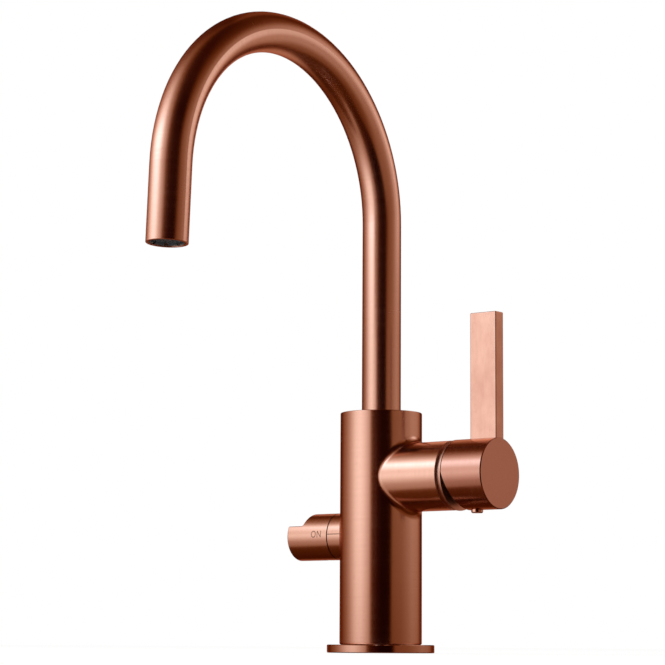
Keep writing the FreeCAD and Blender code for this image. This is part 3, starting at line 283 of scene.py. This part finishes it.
GLOW_UP = [
    (-90, 0), (-72, 0), (-60, 0.07), (-46, 0.06), (-39, 0.10), (-36, 0.30), (-30, 0.38),
    (-22, 0.43), (-8, 0.76), (0, 0.95), (4, 0.96), (8, 0.91), (14, 0.92), (20, 1.13), (31, 1.58),
    (40, 1.02), (50, 0.60), (60, 0.22), (74, 0.10), (90, 0.06),
]
BACK_ROUND = [(-180, 0.17), (-160, 0.17), (-138, 0), (138, 0), (160, 0.17), (180, 0.17)]
BACK_UP = [(-90, 0), (-35, 0), (-27, 1), (-10, 1), (-4, 0), (45, 0), (60, 0.6), (90, 0.6)]
FRONT_ROUND = [
    (-180, 0), (-72, 0), (-62, 0.15), (-52, 0.22), (-36, 0.26), (-22, 0.03), (0, 0), (180, 0),
]
FRONT_UP = [(-90, 0), (-80, 0.3), (-70, 0.75), (-60, 1), (-42, 1), (-32, 0), (90, 0)]
EVEN_UP = [
    (-90, 0.11), (-74, 0.11), (-60, 0.045), (-40, 0.045), (-26, 0.03), (-16, 0), (42, 0), (56, 0.026),
    (90, 0.03),
]
GLOW_TINTS = [
    (0.0, (1, 0.08, 0.04)), (0.06, (1, 0.22, 0.03)), (0.13, (1, 0.29, 0.075)),
    (0.23, (1, 0.475, 0.25)), (0.36, (1, 0.615, 0.45)), (0.61, (1, 0.785, 0.70)),
    (0.88, (1, 0.93, 0.90)), (1.04, (1, 0.97, 0.96)), (1.5, (1, 1.2, 1.4)),
]


def brightness(tree, value, stops):
    """Look a value of 0 to 1 up in a table of (degrees, brightness) stops."""
    top = max(level for _, level in stops)
    first = stops[0][0]
    span = stops[-1][0] - first
    greys = [((degrees - first) / span, (level / top,) * 3) for degrees, level in stops]
    return calc(tree, "MULTIPLY", ramp(tree, value, greys), top)


def patch(tree, turn, round_stops, rise, up_stops):
    """A glow by direction and by height."""
    return calc(tree, "MULTIPLY", brightness(tree, turn, round_stops), brightness(tree, rise, up_stops))


# turn and rise both run from 0 to 1 over their whole range
shell_glow, tree = new_material("reflected_studio")
_, x, y, z = object_place(tree)
turn = calc(tree, "SUBTRACT", calc(tree, "ARCTAN2", y, x), CAMERA_TURN)
turn = calc(tree, "WRAP", turn, math.pi, -math.pi)
turn = calc(tree, "MULTIPLY_ADD", turn, 0.5 / math.pi, 0.5)
rise = calc(tree, "ARCTAN2", calc(tree, "SUBTRACT", z, SHELL_CENTRE.z), radius_about(tree, x, y))
rise = calc(tree, "MULTIPLY_ADD", rise, 1 / math.pi, 0.5)

low_glow = brightness(tree, turn, LOW_ROUND)
high_glow = brightness(tree, turn, HIGH_ROUND)
height = spread(tree, rise, 0.5 + HIGH_FROM / 180, 0.5 + HIGH_TO / 180)
main_glow = calc(tree, "MULTIPLY_ADD", height, calc(tree, "SUBTRACT", high_glow, low_glow), low_glow)
back_glow = patch(tree, turn, BACK_ROUND, rise, BACK_UP)
front_glow = patch(tree, turn, FRONT_ROUND, rise, FRONT_UP)
level = calc(tree, "MULTIPLY_ADD", main_glow, brightness(tree, rise, GLOW_UP), back_glow)
level = calc(tree, "ADD", level, front_glow)
level = calc(tree, "ADD", level, brightness(tree, rise, EVEN_UP))
brightest = GLOW_TINTS[-1][0]
tints = [(step / brightest, tint) for step, tint in GLOW_TINTS]
glow = add(tree, "ShaderNodeEmission")
tree.links.new(ramp(tree, calc(tree, "DIVIDE", level, brightest), tints), glow.inputs["Color"])
tree.links.new(level, glow.inputs["Strength"])
finish_tree(tree, glow.outputs["Emission"])

shape = bmesh.new()
bmesh.ops.create_uvsphere(shape, u_segments=64, v_segments=32, radius=SHELL_RADIUS)
bmesh.ops.translate(shape, verts=shape.verts, vec=SHELL_CENTRE)
shell = new_piece("reflected_studio", shape, shell_glow)
shell.visible_camera = False
shell.visible_diffuse = False
shell.visible_shadow = False
shell.visible_transmission = False
print("studio shell of", len(shell.data.polygons), "faces")

# %% [markdown]
# ### Lamp
# One large soft lamp on the left gives the tap its shadow on the floor and lights what isn't metal.
# The metal doesn't mirror it, because the shell already shows the light where the photograph has it.

# %% lamp
LAMP_SIZE = 1.0
LAMP_POWER = 12.0
LAMP_PLACE = Vector((-0.7, -1.0, 1.3))

lamp = bpy.data.objects.new("soft_key", bpy.data.lights.new("soft_key", "AREA"))
scene.collection.objects.link(lamp)
lamp.data.size = LAMP_SIZE
lamp.data.energy = LAMP_POWER
lamp.location = LAMP_PLACE
lamp.rotation_mode = "QUATERNION"
lamp.rotation_quaternion = (SHELL_CENTRE - LAMP_PLACE).to_track_quat("-Z", "Y")
lamp.visible_glossy = False
print("lamp of", LAMP_POWER, "W")

# %% [markdown]
# ## Shared effects
# Brushing leaves fine parallel scratches, and handling leaves soft cloudy patches. Both are used by
# several finishes, so each is a shader node group with named sockets. `Across` is the distance that
# the scratches are spread along, and `Drift` is a slow coordinate that makes each scratch fade.

# %% shared node groups


def new_group(name, inputs, outputs):
    group = bpy.data.node_groups.new(name, "ShaderNodeTree")
    for title, kind in inputs:
        group.interface.new_socket(name=title, in_out="INPUT", socket_type=kind)
    for title in outputs:
        group.interface.new_socket(name=title, in_out="OUTPUT", socket_type="NodeSocketFloat")
    return group, add(group, "NodeGroupInput"), add(group, "NodeGroupOutput")


SCRATCH_DETAIL = 3.0
SCRATCH_GRAIN = 0.7
STREAK_GRAIN = 0.6
STREAK_SHARE = 0.16
CLOUD_DETAIL = 4.0
CLOUD_GRAIN = 0.55
CLOUD_RANGE = (0.35, 0.70)
SPECKS_PER_CLOUD = 14.0
SPECK_DETAIL = 1.0
SPECK_RANGE = (0.66, 0.74)

brushing, given, result = new_group(
    "brushing",
    [("Across", "NodeSocketFloat"), ("Drift", "NodeSocketVector"), ("Spacing", "NodeSocketFloat")],
    ["Scratches", "Streaks"])
drift = add(brushing, "ShaderNodeSeparateXYZ")
brushing.links.new(given.outputs["Drift"], drift.inputs["Vector"])
steps = calc(brushing, "DIVIDE", given.outputs["Across"], given.outputs["Spacing"])
fine = combine(brushing, steps, drift.outputs["Y"], drift.outputs["Z"])
wide_steps = calc(brushing, "MULTIPLY", steps, STREAK_SHARE)
broad = combine(brushing, wide_steps, drift.outputs["Y"], drift.outputs["Z"])
feed(brushing, noise(brushing, fine, 1.0, SCRATCH_DETAIL, SCRATCH_GRAIN), result.inputs["Scratches"])
feed(brushing, noise(brushing, broad, 1.0, SCRATCH_DETAIL, STREAK_GRAIN), result.inputs["Streaks"])

handling, given, result = new_group(
    "handling", [("Place", "NodeSocketVector"), ("Size", "NodeSocketFloat")], ["Clouds", "Specks"])
per_metre = calc(handling, "DIVIDE", 1.0, given.outputs["Size"])
cloud = noise(handling, given.outputs["Place"], per_metre, CLOUD_DETAIL, CLOUD_GRAIN)
feed(handling, spread(handling, cloud, *CLOUD_RANGE), result.inputs["Clouds"])
speck_scale = calc(handling, "MULTIPLY", per_metre, SPECKS_PER_CLOUD)
speck = noise(handling, given.outputs["Place"], speck_scale, SPECK_DETAIL)
feed(handling, spread(handling, speck, *SPECK_RANGE), result.inputs["Specks"])


def use_group(tree, group, **values):
    made = add(tree, "ShaderNodeGroup", node_tree=group)
    for name, value in values.items():
        feed(tree, value, made.inputs[name.capitalize()])
    return made.outputs


print("groups:", [group.name for group in bpy.data.node_groups])

# %% [markdown]
# ## Brushed copper
# The tap is brass under a satin copper finish, and the brushing follows how each piece was held:
# round the barrel, the branch, the knob and the bent tube, and up the lever's blade.
# One function makes the finish. What differs is the distance across the scratches, which each
# material works out from the surface point: height plus radius for a turned piece, so that the
# scratches run round its side and in rings on its ends. Copper mirrored in copper would be a deep
# orange. The photograph shows it paler, so a mirror-like ray finds a paler metal.

# %% copper finish
COPPER = (0.93, 0.55, 0.42, 1.0)
COPPER_DEEP = (0.865, 0.50, 0.38, 1.0)
COPPER_EDGE = (0.82, 0.44, 0.32, 1.0)
COPPER_GRIME = (0.52, 0.20, 0.12, 1.0)
COPPER_AGAIN = (0.76, 0.64, 0.58, 1.0)
# A dark copper that the handle is mixed towards: painted shade on the hub, random patches on the blade.
COPPER_SHADE_AND_PATCHES = (0.30, 0.03, 0.0, 1.0)
SATIN_LEAST = 0.14
SATIN_SPREAD = 0.05
CLOUD_SATIN = 0.03
FLANGE_SATIN = 0.09
TRIM_SATIN = 0.34
TUBE_SATIN = 0.20
SCRATCH_SPACING = 0.22 * MM
SCRATCH_DEPTH = 0.0016 * MM
SCRATCH_STRENGTH = 0.35
SCRATCH_DRIFT = 14.0
NOISE_RANGE = (0.30, 0.70)
SPECK_SHARE = 0.10
HANDLING_SIZE = 22 * MM
LEVER_HEIGHT = 97.0 * MM
VALVE_HEIGHT = 65.2 * MM


def across_upright(tree, x, y, z):
    return calc(tree, "ADD", z, radius_about(tree, x, y))


def across_sideways(tree, x, y, z, height):
    return calc(tree, "ADD", x, radius_about(tree, y, calc(tree, "SUBTRACT", z, height)))


def across_lever(tree, x, y, z):
    return across_sideways(tree, x, y, z, LEVER_HEIGHT)


def across_knob(tree, x, y, z):
    return across_sideways(tree, x, y, z, VALVE_HEIGHT)


def brushed_copper(name, across_of, satin_least=SATIN_LEAST, shade_and_patches_of=None):
    """A satin copper finish; the last argument gives how far a spot is darkened towards the dark copper,
    as painted shade and as random patches.
    """
    material, tree = new_material(name)
    place, x, y, z = object_place(tree)
    slow = add(tree, "ShaderNodeVectorMath", operation="SCALE")
    tree.links.new(place, slow.inputs[0])
    slow.inputs["Scale"].default_value = SCRATCH_DRIFT
    marks = use_group(tree, brushing, across=across_of(tree, x, y, z), drift=slow.outputs["Vector"],
                      spacing=SCRATCH_SPACING)
    touch = use_group(tree, handling, place=place, size=HANDLING_SIZE)
    colour = blend(tree, spread(tree, marks["Scratches"], *NOISE_RANGE), COPPER_DEEP, COPPER)
    colour = blend(tree, calc(tree, "MULTIPLY", touch["Specks"], SPECK_SHARE), colour, COPPER_GRIME)
    # The dark copper mixed in here is painted shade on the handle's hub and random patches on its blade.
    if shade_and_patches_of:
        colour = blend(tree, shade_and_patches_of(tree, x, y, z), colour, COPPER_SHADE_AND_PATCHES)
    mirrored = add(tree, "ShaderNodeLightPath").outputs["Is Glossy Ray"]
    colour = blend(tree, mirrored, colour, COPPER_AGAIN)
    satin = spread(tree, marks["Streaks"], *NOISE_RANGE, satin_least, satin_least + SATIN_SPREAD)
    satin = calc(tree, "ADD", satin, calc(tree, "MULTIPLY", touch["Clouds"], CLOUD_SATIN))
    grooves = add(tree, "ShaderNodeBump")
    grooves.inputs["Strength"].default_value = SCRATCH_STRENGTH
    grooves.inputs["Distance"].default_value = SCRATCH_DEPTH
    tree.links.new(marks["Scratches"], grooves.inputs["Height"])
    metal = add(tree, "ShaderNodeBsdfPrincipled")
    metal.inputs["Metallic"].default_value = 1.0
    metal.inputs["Specular Tint"].default_value = COPPER_EDGE
    tree.links.new(colour, metal.inputs["Base Color"])
    tree.links.new(satin, metal.inputs["Roughness"])
    tree.links.new(grooves.outputs["Normal"], metal.inputs["Normal"])
    finish_tree(tree, metal.outputs["BSDF"])
    return material


copper_upright = brushed_copper("copper_upright", across_upright, satin_least=FLANGE_SATIN)
copper_knob = brushed_copper("copper_knob", across_knob)
copper_lever = brushed_copper("copper_lever", across_lever, satin_least=TRIM_SATIN)
print("copper finishes:", copper_upright.name, copper_knob.name, copper_lever.name)

# %% [markdown]
# ### Copper on the body and the handle
# These two mix directions. The body is turned upright but its branch and boss are turned sideways.
# The handle's hub is turned and its blade is brushed along its length. The handle's copper is mixed
# towards a dark copper: as painted shade on the hub, and as faint random patches on the blade.

# %% copper on the body and the handle
BARREL_RADIUS = 23.15 * MM
HUB_RADIUS = 19.65 * MM
# The hub's share of dark copper is painted shade that tones down its reflections, a little less on its
# end face.
HUB_PAINTED_SHADE = 0.42
HUB_END_PAINTED_SHADE = 0.36
HUB_END_DEPTH = 0.3 * MM
HUB_END = max(corner[0] for corner in frame["nodes"]["lever_handle"].bound_box) - HUB_END_DEPTH
BLADE_DIM = 0.03
BLADE_CLOUD = 0.20
BLADE_PATCH = 8 * MM
PATCH_SQUEEZE = 0.5


def either(tree, share, first, second):
    """First where share is 0, second where it is 1, by the Mix node's number sockets."""
    made = add(tree, "ShaderNodeMix", data_type="FLOAT")
    for value, number in zip((share, first, second), (0, 2, 3)):
        feed(tree, value, made.inputs[number])
    return made.outputs[0]


def across_body(tree, x, y, z):
    off_barrel = calc(tree, "GREATER_THAN", radius_about(tree, x, y), BARREL_RADIUS)
    lever_side = calc(tree, "GREATER_THAN", x, 0.0)
    sideways = either(tree, lever_side, across_knob(tree, x, y, z), across_lever(tree, x, y, z))
    return either(tree, off_barrel, across_upright(tree, x, y, z), sideways)


def on_blade(tree, y, z):
    above = calc(tree, "SUBTRACT", z, LEVER_HEIGHT)
    return calc(tree, "GREATER_THAN", radius_about(tree, y, above), HUB_RADIUS)


def across_handle(tree, x, y, z):
    return either(tree, on_blade(tree, y, z), across_lever(tree, x, y, z), calc(tree, "ADD", x, y))


# Painted shade on the hub, a little less on its end face; faint random patches on the blade.
def handle_shade_and_patches(tree, x, y, z):
    hub = either(tree, calc(tree, "GREATER_THAN", x, HUB_END), HUB_PAINTED_SHADE, HUB_END_PAINTED_SHADE)
    long_way = combine(tree, x, y, calc(tree, "MULTIPLY", z, PATCH_SQUEEZE))
    patches = use_group(tree, handling, place=long_way, size=BLADE_PATCH)["Clouds"]
    blade = spread(tree, patches, 0.0, 1.0, BLADE_DIM, BLADE_DIM + BLADE_CLOUD)
    return either(tree, on_blade(tree, y, z), hub, blade)


copper_body = brushed_copper("copper_body", across_body)
copper_handle = brushed_copper("copper_handle", across_handle, shade_and_patches_of=handle_shade_and_patches)
print("copper finishes:", copper_body.name, copper_handle.name)

# %% [markdown]
# ### Copper on the spout
# The tube's scratches ring a line that bends. The distance along that line is the height on the riser,
# then the angle round the bend, then the height again on the outlet.

# %% copper on the spout
BEND_RADIUS = 91.3 * MM
BEND_HEIGHT = 242.0 * MM


def across_tube(tree, x, y, z):
    rise = calc(tree, "SUBTRACT", z, BEND_HEIGHT)
    reach = calc(tree, "ADD", y, BEND_RADIUS)
    round_bend = calc(tree, "MULTIPLY", calc(tree, "ARCTAN2", rise, reach), BEND_RADIUS)
    on_outlet = calc(tree, "LESS_THAN", reach, 0.0)
    past_bend = calc(tree, "SUBTRACT", math.pi * BEND_RADIUS, rise)
    straight = either(tree, on_outlet, rise, past_bend)
    return either(tree, calc(tree, "GREATER_THAN", rise, 0.0), straight, round_bend)


copper_tube = brushed_copper("copper_tube", across_tube, satin_least=TUBE_SATIN)
print("copper finish:", copper_tube.name)

# %% [markdown]
# ## Plain metals
# Inside and underneath are turned brass and stainless screws. They show only at the gland, the screws
# and the ports, but the turning tool has left its marks on them, so they take the brushing group with
# wider scratches, and a tone that wanders.

# %% brass and steel
TURNED_RANGE = (0.2, 0.8)
TURNED_SPREAD = 0.12
TURNED_STRENGTH = 0.5


def turned_metal(name, light, dull, rough, spacing):
    """A machined metal with turning marks that follow its height and radius."""
    material, tree = new_material(name)
    place, x, y, z = object_place(tree)
    marks = use_group(tree, brushing, across=across_upright(tree, x, y, z), drift=place,
                      spacing=spacing)
    touch = use_group(tree, handling, place=place, size=HANDLING_SIZE)
    tone = calc(tree, "MULTIPLY", marks["Streaks"], touch["Clouds"])
    metal = add(tree, "ShaderNodeBsdfPrincipled")
    metal.inputs["Metallic"].default_value = 1.0
    tree.links.new(blend(tree, tone, light, dull), metal.inputs["Base Color"])
    satin = spread(tree, marks["Scratches"], *TURNED_RANGE, rough, rough + TURNED_SPREAD)
    tree.links.new(satin, metal.inputs["Roughness"])
    grooves = add(tree, "ShaderNodeBump")
    grooves.inputs["Strength"].default_value = TURNED_STRENGTH
    grooves.inputs["Distance"].default_value = SCRATCH_DEPTH
    tree.links.new(marks["Scratches"], grooves.inputs["Height"])
    tree.links.new(grooves.outputs["Normal"], metal.inputs["Normal"])
    finish_tree(tree, metal.outputs["BSDF"])
    return material


brass = turned_metal("plain_brass", (0.74, 0.57, 0.28, 1), (0.60, 0.43, 0.18, 1),
                     rough=0.22, spacing=0.30 * MM)
steel = turned_metal("stainless_steel", (0.63, 0.62, 0.60, 1), (0.48, 0.47, 0.46, 1),
                     rough=0.24, spacing=0.25 * MM)
print("metals:", brass.name, steel.name)

# %% [markdown]
# ## Rubber, ceramic and plastics
# Seals are black rubber, the discs that shut the water off are lapped ceramic, and the cartridge and
# the aerator are moulded plastic. One function serves all: a colour with soft clouds, as from bloom or
# flow, and a fine grain that varies the gloss and gives a shallow bump.

# %% rubber, ceramic and plastics
GRAINS_PER_CLOUD = 30
SKIN_DETAIL = 2.0
GLOSS_SPREAD = 0.06
PORE_STRENGTH = 0.4


def moulded(name, main, cloudy, rough, grain, depth):
    """Rubber, plastic or ceramic: cloudy colour, fine grain, no metal."""
    material, tree = new_material(name)
    place = object_place(tree)[0]
    touch = use_group(tree, handling, place=place, size=grain * GRAINS_PER_CLOUD)
    skin = noise(tree, place, 1 / grain, SKIN_DETAIL)
    stuff = add(tree, "ShaderNodeBsdfPrincipled")
    tree.links.new(blend(tree, touch["Clouds"], main, cloudy), stuff.inputs["Base Color"])
    gloss = spread(tree, skin, *NOISE_RANGE, rough - GLOSS_SPREAD, rough + GLOSS_SPREAD)
    tree.links.new(gloss, stuff.inputs["Roughness"])
    pores = add(tree, "ShaderNodeBump")
    pores.inputs["Strength"].default_value = PORE_STRENGTH
    pores.inputs["Distance"].default_value = depth
    tree.links.new(skin, pores.inputs["Height"])
    tree.links.new(pores.outputs["Normal"], stuff.inputs["Normal"])
    finish_tree(tree, stuff.outputs["BSDF"])
    return material


rubber = moulded("seal_rubber", (0.022, 0.022, 0.023, 1), (0.040, 0.040, 0.041, 1),
                 rough=0.62, grain=0.3 * MM, depth=0.01 * MM)
ceramic = moulded("disc_ceramic", (0.86, 0.85, 0.81, 1), (0.80, 0.79, 0.75, 1),
                  rough=0.20, grain=0.1 * MM, depth=0.001 * MM)
white_plastic = moulded("white_plastic", (0.82, 0.82, 0.79, 1), (0.76, 0.76, 0.74, 1),
                        rough=0.45, grain=0.4 * MM, depth=0.006 * MM)
grey_plastic = moulded("grey_plastic", (0.035, 0.034, 0.036, 1), (0.055, 0.054, 0.056, 1),
                       rough=0.34, grain=0.3 * MM, depth=0.006 * MM)
print("moulded:", rubber.name, ceramic.name, white_plastic.name, grey_plastic.name)

# %% [markdown]
# ## Dressing the solids
# Each node already sits in place and rides on its body. It only needs its finish, by the record's
# material slot, with the copper pieces named one by one for the direction of their brushing.

# %% dress the nodes
BY_SLOT = {
    "plain_brass": brass,
    "stainless_steel": steel,
    "seal_rubber": rubber,
    "disc_ceramic": ceramic,
    "white_plastic": white_plastic,
    "grey_plastic": grey_plastic,
    "copper_finish": copper_upright,
}
BY_NAME = {
    "body": copper_body,
    "spout_tube": copper_tube,
    "trim_ring": copper_lever,
    "lever_handle": copper_handle,
    "shutoff_knob": copper_knob,
}
for part in frame["record"]["subparts"]:
    name = part["node"]
    finish = BY_NAME.get(name, BY_SLOT[part["material_slot"]])
    for wearing in frame["nodes"][name].material_slots:
        wearing.material = finish

# %% [markdown]
# ## Marks on the shut-off
# The knob says ON towards the front and OFF on top, so that a quarter turn brings OFF to the front,
# and a line on the boss shows which one counts. They are shallow and dark. A flat shape becomes such
# a mark in three steps: it is sliced so that it can bend, thickened, and rolled round the knob, where
# a height on the page becomes an angle.

# %% how a mark is made
KNOB_RADIUS = 13.25 * MM
MARK_PROUD = 0.015 * MM
MARK_DEPTH = 0.12 * MM
SLICE = 0.25 * MM
MERGE_WITHIN = 0.001 * MM

mark_paint = moulded("etched_mark", (0.16, 0.07, 0.045, 1), (0.21, 0.10, 0.065, 1),
                     rough=0.45, grain=0.2 * MM, depth=0.004 * MM)


def roll_round_knob(shape, side):
    """Wrap a flat shape, drawn in x and y about the origin, round the shut-off's axis."""
    for corner in shape.verts:
        angle = side + corner.co.y / KNOB_RADIUS
        reach = KNOB_RADIUS + corner.co.z
        corner.co = (corner.co.x, -reach * math.cos(angle), VALVE_HEIGHT + reach * math.sin(angle))


def etched(name, shape, body, side):
    """Slice a flat shape so that it can bend, thicken it, roll it on and let it ride."""
    highest = max(corner.co.y for corner in shape.verts)
    lines = int(highest / SLICE)
    for line in range(-lines, lines + 1):
        everything = shape.verts[:] + shape.edges[:] + shape.faces[:]
        bmesh.ops.bisect_plane(shape, geom=everything, plane_co=(0, line * SLICE, 0),
                               plane_no=(0, 1, 0))
    solid = bmesh.ops.extrude_face_region(shape, geom=shape.faces[:])
    raised = [item for item in solid["geom"] if isinstance(item, bmesh.types.BMVert)]
    low = [corner for corner in shape.verts if corner not in raised]
    bmesh.ops.translate(shape, verts=raised, vec=(0, 0, MARK_PROUD))
    bmesh.ops.translate(shape, verts=low, vec=(0, 0, -MARK_DEPTH))
    roll_round_knob(shape, side)
    bmesh.ops.remove_doubles(shape, verts=shape.verts, dist=MERGE_WITHIN)
    bmesh.ops.recalc_face_normals(shape, faces=shape.faces)
    piece = new_piece(name, shape, mark_paint)
    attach(piece, body)
    return piece


print("marks are", round((MARK_DEPTH + MARK_PROUD) / MM, 3), "mm thick")

# %% [markdown]
# ### Letters
# Blender's text can be made a mesh. Its capitals are lower than its size, so the wanted height is
# divided by their share of it, and the letters are narrowed and spaced as on the real knob.

# %% letters
LETTER_HEIGHT = 4.1 * MM
CAPITAL_SHARE = 0.73
LETTER_WIDTH = 0.8
LETTER_SPACING = 1.12
ON_MIDDLE = -35.9 * MM
OFF_MIDDLE = -35.6 * MM
FRONT = math.radians(4)
TOP = math.radians(94)


def lettering(name, words, middle, side):
    text = bpy.data.curves.new(name, "FONT")
    text.body = words
    text.align_x = "CENTER"
    text.align_y = "CENTER"
    text.size = LETTER_HEIGHT / CAPITAL_SHARE
    text.space_character = LETTER_SPACING
    text.fill_mode = "FRONT"
    draft = bpy.data.objects.new(name + "_draft", text)
    scene.collection.objects.link(draft)
    bpy.context.view_layer.update()
    flat = bpy.data.meshes.new_from_object(draft)
    bpy.data.objects.remove(draft)
    shape = bmesh.new()
    shape.from_mesh(flat)
    bmesh.ops.remove_doubles(shape, verts=shape.verts, dist=MERGE_WITHIN)
    bmesh.ops.scale(shape, verts=shape.verts, vec=(LETTER_WIDTH, 1, 1))
    bmesh.ops.translate(shape, verts=shape.verts, vec=(middle, 0, 0))
    return etched(name, shape, "shutoff", side)


on_mark = lettering("on_mark", "ON", ON_MIDDLE, FRONT)
off_mark = lettering("off_mark", "OFF", OFF_MIDDLE, TOP)
print("letters:", [(piece.name, len(piece.data.polygons)) for piece in (on_mark, off_mark)])

# %% [markdown]
# ### Index line
# The line is on the boss, which belongs to the body, so it stays put when the knob turns.

# %% index line
LINE_FROM = -27.9 * MM
LINE_TO = -19.0 * MM
LINE_WIDTH = 0.5 * MM

shape = bmesh.new()
bmesh.ops.create_grid(shape, x_segments=6, y_segments=1, size=0.5)
bmesh.ops.scale(shape, verts=shape.verts, vec=(LINE_TO - LINE_FROM, LINE_WIDTH, 1))
bmesh.ops.translate(shape, verts=shape.verts, vec=((LINE_FROM + LINE_TO) / 2, 0, 0))
index_line = etched("index_line", shape, "tap_body", FRONT)
print("line:", index_line.name, len(index_line.data.polygons), "faces")
